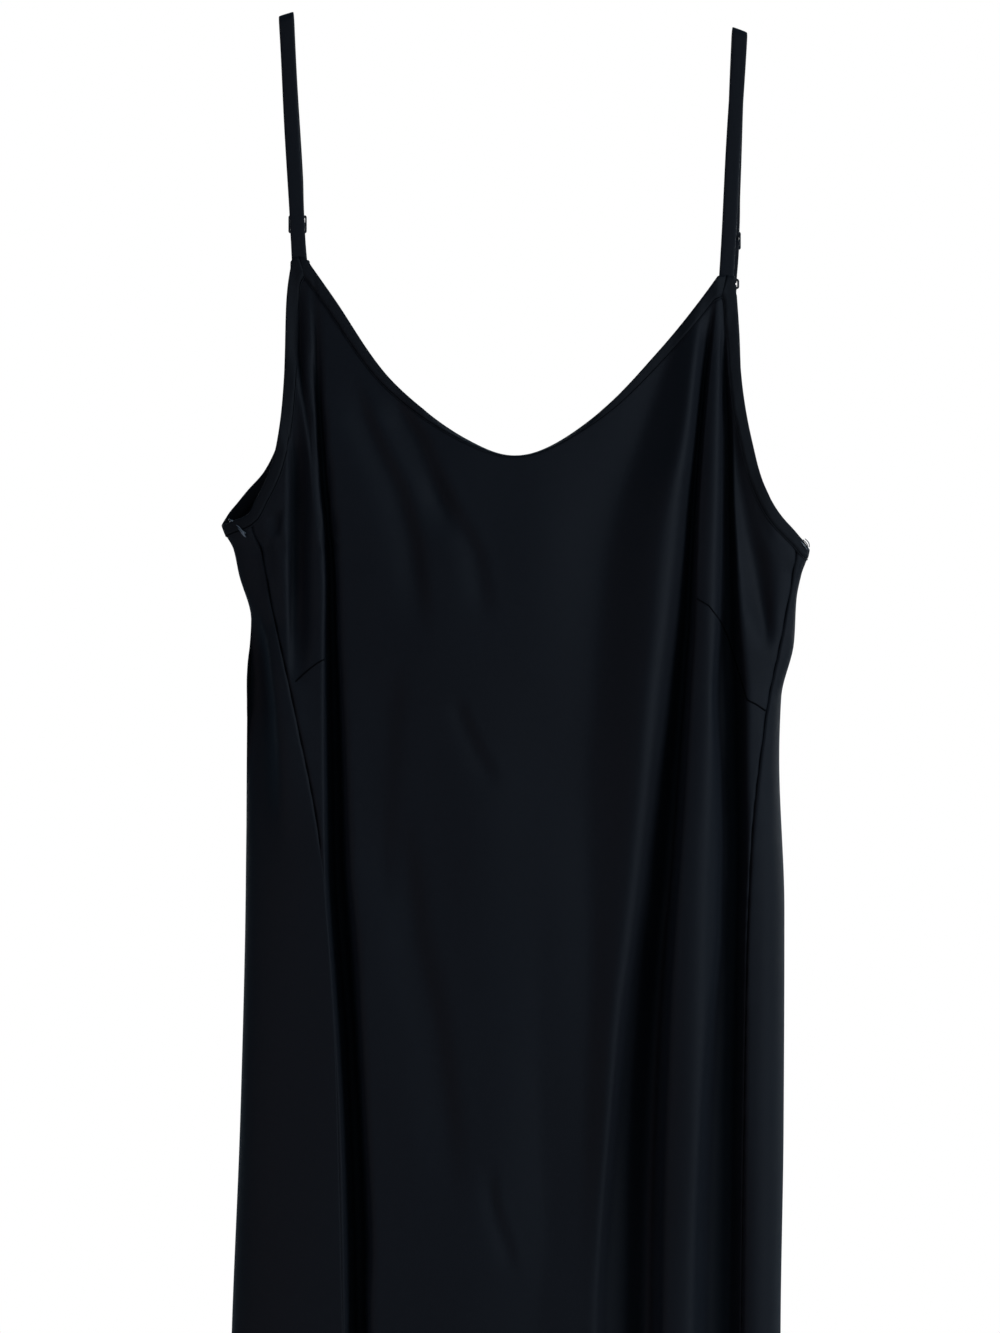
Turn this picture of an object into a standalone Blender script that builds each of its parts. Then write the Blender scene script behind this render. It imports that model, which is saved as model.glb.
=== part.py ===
"""Slip dress in black crepe, hanging open from its two narrow straps.

The script works in millimetres and makes the meshes in metres: +Z is up, +X is to the right as
seen from the front, and the front faces -Y. The origin lies midway between the two places where
the straps are held. Every cut piece is an object of its own and one closed wall of cloth.

The cloth is one closed ring at each level: a rounded section, pressed in by the folds of the
fold tables. A point of it is given by an angle round the ring (0 at the middle of the front,
a quarter turn at the right side, half a turn at the middle of the back) and by a level. Levels
run down from the straps. They are tilted a little, because the dress hangs slightly askew.
"""

import math
from collections import namedtuple

import bmesh
import bpy
import numpy as np
from mathutils import Vector

MM = 0.001

# ---- driving sizes, in millimetres -----------------------------------------------------------

CLOTH = 1.3  # wall of the panels
HEM_CLOTH = 2.2  # wall at the hem, where the cloth is turned up twice
HEM_HEIGHT = 12.0
BINDING_CLOTH = 2.0
BINDING_WIDTH = 7.5
BINDING_PROUD = 0.35  # how far a binding stands out of its panel
ROLL_WIDTH = 5.4  # the front neck binding rolls back, so this much less of it shows in the middle
ROLL_X = 5.0
ROLL_REACH = 80.0
GAP = 0.3  # left between pieces at every seam
STRAP_WIDTH = 9.4
STRAP_CLOTH = 1.2
STRAP_TURN = 5.4  # radius of the strap's middle where it turns over at the top

HEM_LEVEL = -1150.0
YOKE_LEVEL = -350.0  # the ring is whole below this level and cut away above it
FOLD_FADE_LEVEL = -156.0  # folds begin here, at the strap points
FOLD_FADE_LENGTH = 60.0

# Half-sections of the ring by level: reach to each side, depth to the front and the back, and
# squareness (2 is an ellipse, more is squarer).
Section = namedtuple("Section", "level left right front back square")
SECTIONS = (
    Section(-1150, 189.0, 170.0, 45, 44, 3.0),
    Section(-838, 180.3, 170.2, 41, 40, 3.0),
    Section(-700, 174.8, 172.2, 39, 38, 3.0),
    Section(-560, 171.6, 172.8, 37, 36, 2.8),
    Section(-465, 171.0, 169.6, 34, 33, 2.5),
    Section(-425, 170.5, 170.9, 32, 31, 2.3),
    Section(-389, 168.3, 179.2, 30, 29, 2.1),
    Section(-361, 176.0, 180.8, 29, 27, 1.9),
    Section(-345, 179.5, 184.0, 28, 26, 1.8),
    Section(-329, 187.0, 188.8, 27, 25, 1.8),
    Section(-276, 187.0, 188.8, 23, 21, 2.1),
    Section(-200, 187.0, 188.8, 15, 15, 2.2),
    Section(-140, 187.0, 188.8, 11, 12, 2.2),
)

# How much a level drops for each millimetre to the right.
Tilt = namedtuple("Tilt", "level drop")
TILTS = (
    Tilt(-1150, 0.020),
    Tilt(-838, 0.030),
    Tilt(-340, 0.043),
    Tilt(-160, 0.044),
    Tilt(0, 0.035),
)

# Place of each side seam on the front, because the back panel wraps forward round both sides.
Seam = namedtuple("Seam", "level left right")
SEAMS = (
    Seam(-1150, -99.0, 141.0),
    Seam(-838, -107.5, 143.0),
    Seam(-620, -114.0, 146.0),
    Seam(-530, -122.5, 149.5),
    Seam(-440, -140.0, 160.0),
    Seam(-380, -154.5, 172.0),
    Seam(-345, -161.5, 178.5),
    Seam(-325, -169.0, 180.5),
)

# Folds, each with its place, half-width at half depth, and depth at five levels. A negative
# depth is a ridge. The edge tells how steep the walls are: 2 is soft and 3 is steep.
FOLD_LEVELS = (-1150, -838, -520, -350, -200)
Fold = namedtuple("Fold", "name edge place half depth")
FRONT_FOLDS = (
    Fold("left strap crease", 2, (-115, -115, -115, -120, -136.5), (4, 4, 4, 4, 4), (0, 0, 0, 2, 3)),
    Fold("left hollow", 2, (-136, -136, -136, -136, -137), (5, 5, 5, 5, 5), (0, 0, 0, 5, 0)),
    Fold("left main fold", 3, (-92, -98.6, -113, -115, -126), (10, 8, 6, 5, 4), (34, 34, 29, 11, 2.5)),
    Fold("right soft fold", 2, (48, 50, 59.5, 75.5, 107), (5, 5, 11, 13, 4), (0, 1, 9, 9, 2)),
    Fold("right thin ridge", 2, (53, 56, 79, 97, 112.5), (4, 4, 6, 5.5, 3), (-3, -3, -5, -4, -1)),
    Fold("right main fold", 3, (68, 75.5, 95.4, 109.4, 123), (18, 16, 10, 6, 4), (34, 32, 27, 15, 2.5)),
    Fold("right tube", 2, (104, 108, 120, 123, 130), (15, 14, 13, 8, 4), (-7, -7, -6, -3, -1)),
    Fold("right outer fold", 3, (134, 136.3, 142.7, 137.3, 136.3), (13, 12, 8, 5.4, 5),
         (24, 22, 18, 7, 0)),
    Fold("right hollow", 2, (155, 155, 155, 155.5, 153), (6, 6, 6, 6, 5), (0, 0, 0, 6, 0)),
    Fold("right side tube", 2, (160, 161, 162.6, 163, 163), (8, 8, 8, 8, 8), (-5, -5, -4, 0, 0)),
)
BACK_FOLDS = (
    Fold("back left side fold", 2, (-150, -147, -143, -146, -150), (10, 9, 8, 6, 5), (12, 10, 8, 3, 0)),
    Fold("back left fold", 3, (-84, -88, -101, -119, -133), (13, 11, 8, 5, 2.5), (27, 25, 20, 12, 3)),
    Fold("back left ridge", 2, (-58, -62, -78, -96, -120), (9, 9, 9, 8, 6), (-6, -6, -5, -3, -1)),
    Fold("back middle soft fold", 2, (-18, -22, -30, -45, -60), (15, 14, 13, 12, 8), (13, 11, 8, 4, 1)),
    Fold("back right soft fold", 2, (52, 50, 46, 50, 62), (13, 12, 10, 9, 7), (16, 13, 8, 3, 0)),
    Fold("back right ridge", 2, (76, 76, 78, 92, 118), (8, 8, 8, 7, 5), (-5, -5, -4, -3, -1)),
    Fold("back right fold", 3, (104, 105, 107, 119, 132), (12, 10, 8, 5, 2.5), (25, 23, 19, 12, 3)),
    Fold("back right side fold", 2, (150, 149, 147, 149, 152), (9, 9, 8, 6, 5), (13, 11, 9, 4, 0)),
)

# Finished edges, as (x, z) points of smooth curves.
FRONT_NECK = (
    (-133.0, -151.0),
    (-112.6, -180.5),
    (-77.5, -230.5),
    (-30.0, -267.0),
    (8.0, -276.5),
    (52.0, -252.0),
    (98.0, -209.0),
    (129.8, -163.0),
)
BACK_NECK = (
    (-132.5, -160.5),
    (-112.0, -196.0),
    (-76.0, -246.0),
    (-30.0, -283.0),
    (8.0, -293.0),
    (52.0, -271.0),
    (97.0, -228.0),
    (133.5, -172.5),
)
LEFT_ARMHOLE_FRONT = (
    (-141.6, -151.0),
    (-145.2, -178.0),
    (-146.6, -228.0),
    (-149.8, -262.0),
    (-155.6, -287.0),
    (-165.0, -306.0),
    (-172.8, -316.5),
)
LEFT_ARMHOLE_BACK = (
    (-179.5, -316.0),
    (-168.5, -298.5),
    (-158.0, -284.0),
    (-150.5, -262.0),
    (-146.0, -225.0),
    (-142.0, -160.5),
)
RIGHT_ARMHOLE_FRONT = (
    (140.8, -163.0),
    (142.4, -190.0),
    (145.6, -235.0),
    (152.6, -270.0),
    (162.5, -299.0),
    (176.0, -321.0),
)
RIGHT_ARMHOLE_BACK = (
    (177.0, -321.0),
    (163.0, -300.0),
    (153.0, -272.0),
    (147.0, -236.0),
    (145.0, -198.0),
    (143.2, -172.5),
)
UNDERARM_TIP = {"left": -321.5, "right": -337.0}  # height of each armhole's lowest, outer point

# Points where the two bindings of a strap point meet below the strap.
APEX = {
    "front left": (-133.6, -163.5),
    "front right": (132.6, -176.0),
    "back left": (-134.6, -174.0),
    "back right": (135.6, -187.0),
}

# Strap: middle of its lower end on the front and back, middle and height of its top, and how
# much the top drops outwards.
StrapLine = namedtuple("StrapLine", "front_x front_z back_x back_z top_x top_z slant slider_z")
STRAPS = {
    "left": StrapLine(-137.3, -150.4, -137.3, -160.0, -145.9, 5.5, 0.30, -128.0),
    "right": StrapLine(135.3, -162.4, 138.3, -172.0, 144.3, -4.5, 0.38, -138.6),
}

HARDWARE_Y = 8.0  # middle plane of the sliders
SLIDER_WIDTH = 13.6
SLIDER_HEIGHT = 11.4
SLIDER_THICKNESS = 1.4
SLIDER_BAR = 1.6
RING_Y = 7.0
RING_WIDTH = 14.0
RING_HEIGHT = 7.6
RING_WIRE = 1.6
RING_CORNER = 1.6
RING_LIFT = 8.5  # from the lower end of the back strap point's tab to the middle of the ring
TAB_WIDTH = 9.0
WEAVE = (SLIDER_THICKNESS + STRAP_CLOTH) / 2 + GAP + 0.1  # strap's middle to a slider bar's middle
ROUND_BAR = (RING_WIRE + STRAP_CLOTH) / 2 + GAP + 0.1  # radius of a strip's turn round a ring's bar

# Lines that the columns of the panels' grids follow up the folds, the columns from each to the
# next, and where it ends on the panel's top: at a seam, an apex or the side of the ring, at this
# x of the neck, or at this z of the armhole.
Guide = namedtuple("Guide", "line columns top")
FRONT_GUIDES = (
    Guide("left seam", 10, "seam"),
    Guide("left main fold", 12, "apex"),
    Guide("middle", 9, -10.0),
    Guide("right soft fold", 7, 103.0),
    Guide("right main fold", 5, 123.0),
    Guide("right tube", 4, "apex"),
    Guide("right outer fold", 9, -215.0),
    Guide("right seam", 0, "seam"),
)
BACK_GUIDES = (
    Guide("right seam", 3, "seam"),
    Guide("right side", 4, "side"),
    Guide("back right side fold", 8, -262.0),
    Guide("back right fold", 9, "apex"),
    Guide("back right soft fold", 9, 60.0),
    Guide("back middle soft fold", 9, -52.0),
    Guide("back left fold", 8, "apex"),
    Guide("back left side fold", 4, -252.0),
    Guide("left side", 8, "side"),
    Guide("left seam", 0, "seam"),
)
# Levels where the rows of the body change their spacing, and the rows from each up to the next.
BODY_LEVELS = ((HEM_LEVEL + HEM_HEIGHT, 9), (-620.0, 6), (-465.0, 6), (YOKE_LEVEL, 0))
YOKE_ROWS = 8
UNDERARM_RADIUS = 175.0  # near the underarm a seam's angle turns as on a circle about this size
SEAM_REACH = 4.0  # the cloth this far to both sides of a seam sets the way that its edge faces
RING_SAMPLES = 1600
EDGE_SAMPLES = 200  # points of a finished edge while it is worked out
FINE_SAMPLES = 1200  # points of a line while places along it are looked for
LN2 = math.log(2.0)


# ---- curves ----------------------------------------------------------------------------------

def eased(at, knots, values):
    """Monotone smooth curve through (knot, value) pairs, held level past both ends."""
    knots = np.asarray(knots, float)
    values = np.asarray(values, float)
    at = np.clip(np.asarray(at, float), knots[0], knots[-1])
    step = np.diff(knots)
    slope = np.diff(values) / step
    same_way = slope[1:] * slope[:-1] > 0
    total = np.where(same_way, slope[1:] + slope[:-1], 1.0)
    inner = np.where(same_way, 2 * slope[1:] * slope[:-1] / total, 0.0)
    tangent = np.concatenate(([slope[0]], inner, [slope[-1]]))
    i = np.clip(np.searchsorted(knots, at) - 1, 0, len(step) - 1)
    t = (at - knots[i]) / step[i]
    return ((1 + 2 * t) * (1 - t) ** 2 * values[i] + t * (1 - t) ** 2 * step[i] * tangent[i]
            + t ** 2 * (3 - 2 * t) * values[i + 1] + t ** 2 * (t - 1) * step[i] * tangent[i + 1])


def by_level(level, table, name):
    """A named column of a table whose first column is the level, at the given levels."""
    return eased(level, [row.level for row in table], [getattr(row, name) for row in table])


def spline(points, count):
    """Evenly spaced points of a smooth curve through the given points."""
    points = np.asarray(points, float)
    ends = np.vstack((2 * points[0] - points[1], points, 2 * points[-1] - points[-2]))
    fine = []
    for a, b, c, d in zip(ends, ends[1:], ends[2:], ends[3:]):
        for t in np.linspace(0, 1, 24, endpoint=False):
            fine.append(0.5 * (2 * b + (c - a) * t + (2 * a - 5 * b + 4 * c - d) * t ** 2
                               + (3 * b - a - 3 * c + d) * t ** 3))
    fine.append(points[-1])
    return even(np.array(fine), count)


def even(points, count):
    """The same open line with count points, evenly spaced along it."""
    run = np.concatenate(([0], np.cumsum(np.linalg.norm(np.diff(points, axis=0), axis=1))))
    want = np.linspace(0, run[-1], count)
    return np.column_stack([np.interp(want, run, axis) for axis in points.T])


# ---- the hanging cloth -----------------------------------------------------------------------

def level_at(x, z):
    """Level of the cloth at a place given by x and z."""
    return z + by_level(z, TILTS, "drop") * x


def ring_angle(x, level, back=False):
    """Angle round the ring where the front, or the back, of the cloth is at x."""
    left = by_level(level, SECTIONS, "left")
    right = by_level(level, SECTIONS, "right")
    share = np.clip((x - (right - left) / 2) / ((right + left) / 2), -1, 1)
    angle = np.arcsin(share)
    return math.pi - angle if back else angle


def cloth_point(angle, level, folded=True):
    """Points of the cloth's outer face, as an array that ends in x, y and z."""
    angle, level = np.broadcast_arrays(np.asarray(angle, float), np.asarray(level, float))
    left = by_level(level, SECTIONS, "left")
    right = by_level(level, SECTIONS, "right")
    square = by_level(level, SECTIONS, "square")
    is_front = np.cos(angle) > 0
    side = np.sin(angle)
    bulge = np.clip(1 - np.abs(side) ** square, 0, 1) ** (1 / square)
    x = (right - left) / 2 + side * (right + left) / 2
    out = bulge * np.where(is_front, by_level(level, SECTIONS, "front"), by_level(level, SECTIONS, "back"))
    if folded:
        begun = np.clip((FOLD_FADE_LEVEL - level) / FOLD_FADE_LENGTH, 0, 1)
        begun = begun * begun * (3 - 2 * begun) * np.sqrt(bulge)
        for folds, on_this_half in ((FRONT_FOLDS, is_front), (BACK_FOLDS, ~is_front)):
            for fold in folds:
                t = (x - eased(level, FOLD_LEVELS, fold.place)) / eased(level, FOLD_LEVELS, fold.half)
                depth = eased(level, FOLD_LEVELS, fold.depth)
                out = out - on_this_half * begun * depth * np.exp(-LN2 * np.abs(t) ** fold.edge)
    y = np.where(is_front, -out, out)
    z = level - by_level(level, TILTS, "drop") * x
    return np.stack((x, y, z), axis=-1)


def cloth_normal(angle, level, folded=True):
    """Unit normals of the cloth, pointing out of the dress."""
    around = cloth_point(angle + 0.003, level, folded) - cloth_point(angle - 0.003, level, folded)
    up = cloth_point(angle, level + 1.5, folded) - cloth_point(angle, level - 1.5, folded)
    normal = np.cross(around, up)
    return normal / np.linalg.norm(normal, axis=-1, keepdims=True)


def seam_angles(level):
    """Angles of the left and right side seams; both lie on the front."""
    return (ring_angle(by_level(level, SEAMS, "left"), level),
            ring_angle(by_level(level, SEAMS, "right"), level))


def spread(level, guides, counts, shift_ends):
    """Angles from the first guide to the last, evenly spaced along the cloth between guides."""
    fine = np.linspace(guides[0] - 0.02, guides[-1] + 0.02, RING_SAMPLES)
    points = cloth_point(fine, level)
    run = np.concatenate(([0], np.cumsum(np.linalg.norm(np.diff(points, axis=0), axis=1))))
    marks = np.interp(guides, fine, run)
    marks[0] += shift_ends
    marks[-1] -= shift_ends
    steps = [np.linspace(a, b, n, endpoint=False) for a, b, n in zip(marks, marks[1:], counts)]
    return np.interp(np.concatenate(steps + [marks[-1:]]), run, fine)


def guide_angle(line, level):
    """Angle where a guide line crosses a level, counted on round the ring from the front."""
    left, right = seam_angles(level)
    plain = {"left seam": left, "right seam": right, "middle": ring_angle(-20.0, level),
             "right side": math.pi / 2, "left side": 1.5 * math.pi}
    if line in plain:
        return plain[line]
    fold = next(f for f in FRONT_FOLDS + BACK_FOLDS if f.name == line)
    return ring_angle(eased(level, FOLD_LEVELS, fold.place), level, line.startswith("back"))


def panel_row(guides, level):
    """Angles of a panel's columns at a level."""
    angles = np.array([guide_angle(guide.line, level) for guide in guides], float)
    if angles[-1] < angles[0]:
        angles[-1] += 2 * math.pi
    return spread(level, angles, [guide.columns for guide in guides[:-1]], GAP / 2)


# ---- finished edges and bindings -------------------------------------------------------------

def on_ring(points, back=False):
    """Angles and levels of (x, z) points of the front or the back."""
    points = np.asarray(points, float)
    level = level_at(points[:, 0], points[:, 1])
    return np.column_stack((ring_angle(points[:, 0], level, back), level))


def armhole_edge(side, count):
    """Finished edge of an armhole as (angle, level), from the front strap round to the back one."""
    turn = math.pi / 2 if side == "right" else -math.pi / 2
    if side == "right":
        front = on_ring(RIGHT_ARMHOLE_FRONT)
        back = on_ring(RIGHT_ARMHOLE_BACK, back=True)
        reach = by_level(UNDERARM_TIP[side], SECTIONS, "right")
    else:
        front = on_ring(LEFT_ARMHOLE_FRONT)
        back = on_ring(LEFT_ARMHOLE_BACK, back=True) - (2 * math.pi, 0)
        reach = -by_level(UNDERARM_TIP[side], SECTIONS, "left")
    tip = np.array([[turn, level_at(reach, UNDERARM_TIP[side])]])
    return spline_on_cloth(np.vstack((front, tip, back)), count)


def length_on_cloth(line):
    """Length along an (angle, level) line, as it lies on the cloth, at each of its points."""
    points = cloth_point(line[:, 0], line[:, 1], folded=False)
    return np.concatenate(([0], np.cumsum(np.linalg.norm(np.diff(points, axis=0), axis=1))))


def picked(line, at, wanted):
    """The line's points where a count along it, given at each point, has the wanted values."""
    return np.column_stack((np.interp(wanted, at, line[:, 0]), np.interp(wanted, at, line[:, 1])))


def evened(line, count):
    """The same (angle, level) line with count points, evenly spaced on the cloth."""
    run = length_on_cloth(line)
    return picked(line, run, np.linspace(0, run[-1], count))


def spline_on_cloth(marks, count):
    """A smooth line through (angle, level) marks, evenly spaced as it lies on the cloth."""
    scale = np.array([120.0, 1.0])  # makes an angle about as long as its stretch of cloth
    return evened(spline(marks * scale, 40 * len(marks)) / scale, count)


def moved_in(line, width):
    """The (angle, level) line moved across the cloth by width, to the left of its own way."""
    steps = 6
    width = width * np.ones(len(line))
    for _ in range(steps):
        angle, level = line.T
        along = np.gradient(cloth_point(angle, level, folded=False), axis=0)
        along /= np.linalg.norm(along, axis=1, keepdims=True)
        across = np.cross(cloth_normal(angle, level, folded=False), along)
        turned = cloth_point(angle + 0.002, level, False) - cloth_point(angle - 0.002, level, False)
        raised = cloth_point(angle, level + 1, False) - cloth_point(angle, level - 1, False)
        moved = []
        for place, far, way, by_angle, by_rise in zip(line, width, across, turned / 0.004, raised / 2):
            share = np.linalg.lstsq(np.column_stack((by_angle, by_rise)), way, rcond=None)[0]
            moved.append(place + far / steps * share)
        line = np.array(moved)
    return line


def apex(name):
    """Where two bindings meet below a strap, as (angle, level)."""
    return on_ring([APEX[name]], back=name.startswith("back"))[0]


def strap_foot(side, back=False, towards=0.0):
    """Middle of a strap point's upper end, as (angle, level)."""
    strap = STRAPS[side]
    x, z = (strap.back_x, strap.back_z) if back else (strap.front_x, strap.front_z)
    return on_ring([(x + towards, z)], back)[0]


def matched(line, pattern):
    """The line with as many points as the pattern, at the same shares of its length.

    Lines round an armhole match at the side of the ring too."""
    share = length_on_cloth(pattern)
    share = share / share[-1]
    fine = evened(line, FINE_SAMPLES)
    if np.ptp(np.sign(np.cos(line[:, 0]))) > 0:
        share = np.interp(share, (0, share_at(pattern, 0, "side"), 1), (0, share_at(line, 0, "side"), 1))
    return picked(fine, np.linspace(0, 1, FINE_SAMPLES), share)


def between(first, line, last):
    """A line moved in from a finished edge, cut short at both ends and led to first and last."""
    clear = 3.0
    middle = len(line) // 2
    kept = [p for p in line[:middle] if p[1] < first[1] - clear]
    kept += [p for p in line[middle:] if p[1] < last[1] - clear]
    return np.vstack((first, kept, last))


def neck_edge(back):
    """Finished edge of the front or back neck as (angle, level), from -X to +X."""
    return spline_on_cloth(on_ring(BACK_NECK if back else FRONT_NECK, back), EDGE_SAMPLES)


def marked(line, marks, columns):
    """The line through its marked places, with evenly spaced points between each two of them.

    A mark is a share of the line's points, from 0 to 1."""
    fine = evened(line, FINE_SAMPLES)
    places = [round(mark * (FINE_SAMPLES - 1)) for mark in marks]
    parts = [evened(fine[i:j + 1], count + 1)[:-1] for i, j, count in zip(places, places[1:], columns)]
    return np.vstack(parts + [fine[-1:]])


def share_at(line, axis, value):
    """Share of a line's length at which its x (axis 0) or z (axis 2) first passes a value.

    The value "side" stands for the side of the ring, a quarter turn from the front."""
    fine = evened(line, FINE_SAMPLES)
    if value == "side":
        past = np.abs(fine[:, 0]) - math.pi / 2
    else:
        past = cloth_point(fine[:, 0], fine[:, 1], folded=False)[:, axis] - value
    return float(np.argmax(np.sign(past) != np.sign(past[0]))) / (FINE_SAMPLES - 1)


def top_marks(line, guides, axis):
    """Shares of a seam line where the guides that end on it do, with both of its ends."""
    return [0.0] + [share_at(line, axis, guide.top) for guide in guides[1:-1]] + [1.0]


def neck_seam(back):
    """Line where the neck binding meets its panel, from -X to +X, one point for each column."""
    edge = neck_edge(back)
    shown = np.full(len(edge), BINDING_WIDTH)
    if not back:
        x = cloth_point(*edge.T)[:, 0]
        shown -= ROLL_WIDTH * np.exp(-((x - ROLL_X) / ROLL_REACH) ** 2)
    # On the front the cloth lies to the right of the line's way, and on the back to its left.
    part = "back" if back else "front"
    line = between(apex(part + " left"), moved_in(edge, shown if back else -shown), apex(part + " right"))
    guides = BACK_GUIDES if back else FRONT_GUIDES
    first, last = [i for i, guide in enumerate(guides) if guide.top == "apex"]
    columns = [guide.columns for guide in guides[first:last]]
    guides = guides[first:last + 1]
    if back:  # the back's guides run the other way
        guides = guides[::-1]
        columns = columns[::-1]
    return marked(line, top_marks(line, guides, 0), columns)


def armhole_seam(side):
    """Line where an armhole's binding meets the front, and the line where it meets the back.

    Both run from the front strap point to the back one, and they end half a gap from the seam."""
    hand = 1 if side == "left" else -1
    full_turn = np.array((2 * math.pi, 0)) if side == "left" else np.zeros(2)
    line = between(apex("front " + side), moved_in(armhole_edge(side, EDGE_SAMPLES), hand * BINDING_WIDTH),
                   apex("back " + side) - full_turn)
    which = 0 if side == "left" else 1
    past = -hand * np.array([angle - seam_angles(level)[which] for angle, level in line])
    i = int(np.argmax(past > 0))
    share = past[i - 1] / (past[i - 1] - past[i])
    crossing = line[i - 1] + share * (line[i] - line[i - 1])
    away = np.array((-hand * GAP / 2 / UNDERARM_RADIUS, 0))
    front = np.vstack((line[:i], crossing - away))
    back = np.vstack((crossing + away, line[i:]))
    # The guides of the front from the apex to the seam, and of the back from the seam to the apex.
    front_guides, back_guides = FRONT_GUIDES[5:], BACK_GUIDES[:4]
    front_columns = [guide.columns for guide in front_guides[:-1]]
    back_columns = [guide.columns for guide in back_guides[:-1]]
    if side == "left":
        front_guides, back_guides = FRONT_GUIDES[1::-1], BACK_GUIDES[:5:-1]
        front_columns = [guide.columns for guide in front_guides[1:]]
        back_columns = [guide.columns for guide in back_guides[1:]]
    return (marked(front, top_marks(front, front_guides, 2), front_columns),
            marked(back, top_marks(back, back_guides, 2), back_columns))


def pulled(line, first, last):
    """The line with its two ends moved along x, so that pieces stay a gap apart at a mitre."""
    line = line.copy()
    for end, far in ((0, first), (-1, last)):
        x, _, z = cloth_point(*line[end], folded=False)
        back = math.cos(line[end, 0]) < 0
        turned = on_ring([(x + far, z)], back)[0]
        turned[0] += 2 * math.pi * round((line[end, 0] - turned[0]) / (2 * math.pi))
        line[end] = turned
    return line


def neck_binding_lines(back):
    """Outer and inner line of a neck binding, from -X to +X."""
    inner = pulled(moved_in(neck_seam(back), -GAP if back else GAP), GAP, -GAP)
    feet = strap_foot("left", back, GAP), strap_foot("right", back, -GAP)
    return matched(np.vstack((feet[0], neck_edge(back), feet[1])), inner), inner


def armhole_binding_lines(side):
    """Outer and inner line of an armhole binding, from the front strap round to the back one."""
    hand = 1 if side == "left" else -1
    front, back = armhole_seam(side)
    seam = (front[-1:] + back[:1]) / 2
    inner = moved_in(np.vstack((front[:-1], seam, back[1:])), -hand * GAP)
    inner = pulled(inner, -hand * GAP, -hand * GAP)
    full_turn = np.array((2 * math.pi, 0)) if side == "left" else np.zeros(2)
    foot = strap_foot(side, False, -hand * GAP)
    back_foot = strap_foot(side, True, -hand * GAP) - full_turn
    return matched(np.vstack((foot, armhole_edge(side, EDGE_SAMPLES), back_foot)), inner), inner


# ---- meshes ----------------------------------------------------------------------------------

def make_material(name, colour, roughness, metallic=0.0):
    material = bpy.data.materials.new(name)
    material.use_nodes = True
    shader = material.node_tree.nodes["Principled BSDF"]
    shader.inputs["Base Color"].default_value = (*colour, 1.0)
    shader.inputs["Roughness"].default_value = roughness
    shader.inputs["Metallic"].default_value = metallic
    return material


def finish(name, work, material):
    """Makes a bmesh in millimetres into a named object in metres."""
    bmesh.ops.scale(work, vec=(MM, MM, MM), verts=work.verts)
    if work.calc_volume(signed=True) < 0:
        bmesh.ops.reverse_faces(work, faces=work.faces)
    mesh = bpy.data.meshes.new(name)
    work.to_mesh(mesh)
    work.free()
    mesh.shade_smooth()
    mesh.set_sharp_from_angle(angle=math.radians(50))
    thing = bpy.data.objects.new(name, mesh)
    bpy.context.scene.collection.objects.link(thing)
    thing.data.materials.append(material)
    return thing


def wall(name, outer, inner, material):
    """One closed wall between two grids of points, given by row and column."""
    rows, columns = outer.shape[0] - 1, outer.shape[1] - 1
    work = bmesh.new()
    bmesh.ops.create_grid(work, x_segments=columns, y_segments=rows, size=1.0)
    extruded = bmesh.ops.extrude_face_region(work, geom=work.faces[:])
    lifted = {item for item in extruded["geom"] if isinstance(item, bmesh.types.BMVert)}
    for vert in work.verts:
        column_at = round((vert.co.x + 1) / 2 * columns)
        row_at = round((vert.co.y + 1) / 2 * rows)
        grid = outer if vert in lifted else inner
        vert.co = Vector(grid[row_at, column_at])
    # The shorter diagonal gives the two walls of a seam the same twist.
    bmesh.ops.triangulate(work, faces=work.faces[:], quad_method="SHORT_EDGE")
    return finish(name, work, material)


def body_levels():
    levels = [HEM_LEVEL]
    for (start, rows), (end, _) in zip(BODY_LEVELS, BODY_LEVELS[1:]):
        levels += list(np.linspace(start, end, rows, endpoint=False))
    return levels + [YOKE_LEVEL]


def grid_normals(grid, face):
    """Unit normals of a panel's grid, the same for two panels where they meet at a seam."""
    along = np.zeros_like(face)
    along[:, 1:-1] = face[:, 2:] - face[:, :-2]
    for edge in (0, -1):
        angle, level = grid[:, edge, 0], grid[:, edge, 1]
        turned = cloth_point(angle + 0.001, level) - cloth_point(angle - 0.001, level)
        step = SEAM_REACH * 0.002 / np.linalg.norm(turned, axis=1)
        along[:, edge] = cloth_point(angle + step, level) - cloth_point(angle - step, level)
    normal = np.cross(along, np.gradient(face, axis=0))
    normal[-1] = cloth_normal(grid[-1, :, 0], grid[-1, :, 1], folded=False)
    return normal / np.linalg.norm(normal, axis=-1, keepdims=True)


def panel(name, guides, top, material):
    """A panel from its hem up to the (angle, level) line of its top, one column for each point."""
    levels = body_levels()
    angles = [panel_row(guides, level) for level in levels]
    grid = [np.column_stack((row, np.full(len(row), level))) for row, level in zip(angles, levels)]
    for share in np.linspace(0, 1, YOKE_ROWS + 1)[1:]:
        grid.append((1 - share) * grid[len(levels) - 1] + share * top)
    grid = np.array(grid)
    face = cloth_point(grid[..., 0], grid[..., 1])
    normal = grid_normals(grid, face)
    thick = np.where(grid[..., 1:2] < HEM_LEVEL + HEM_HEIGHT + 1, HEM_CLOTH, CLOTH)
    return wall(name, face, face - thick * normal, material)


def front_panel(material):
    top = np.vstack((armhole_seam("left")[0][:0:-1], neck_seam(False)[:-1], armhole_seam("right")[0]))
    return panel("front_panel", FRONT_GUIDES, top, material)


def back_panel(material):
    left = armhole_seam("left")[1][::-1] + (2 * math.pi, 0)
    top = np.vstack((armhole_seam("right")[1][:-1], neck_seam(True)[:0:-1], left))
    return panel("back_panel", BACK_GUIDES, top, material)


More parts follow.
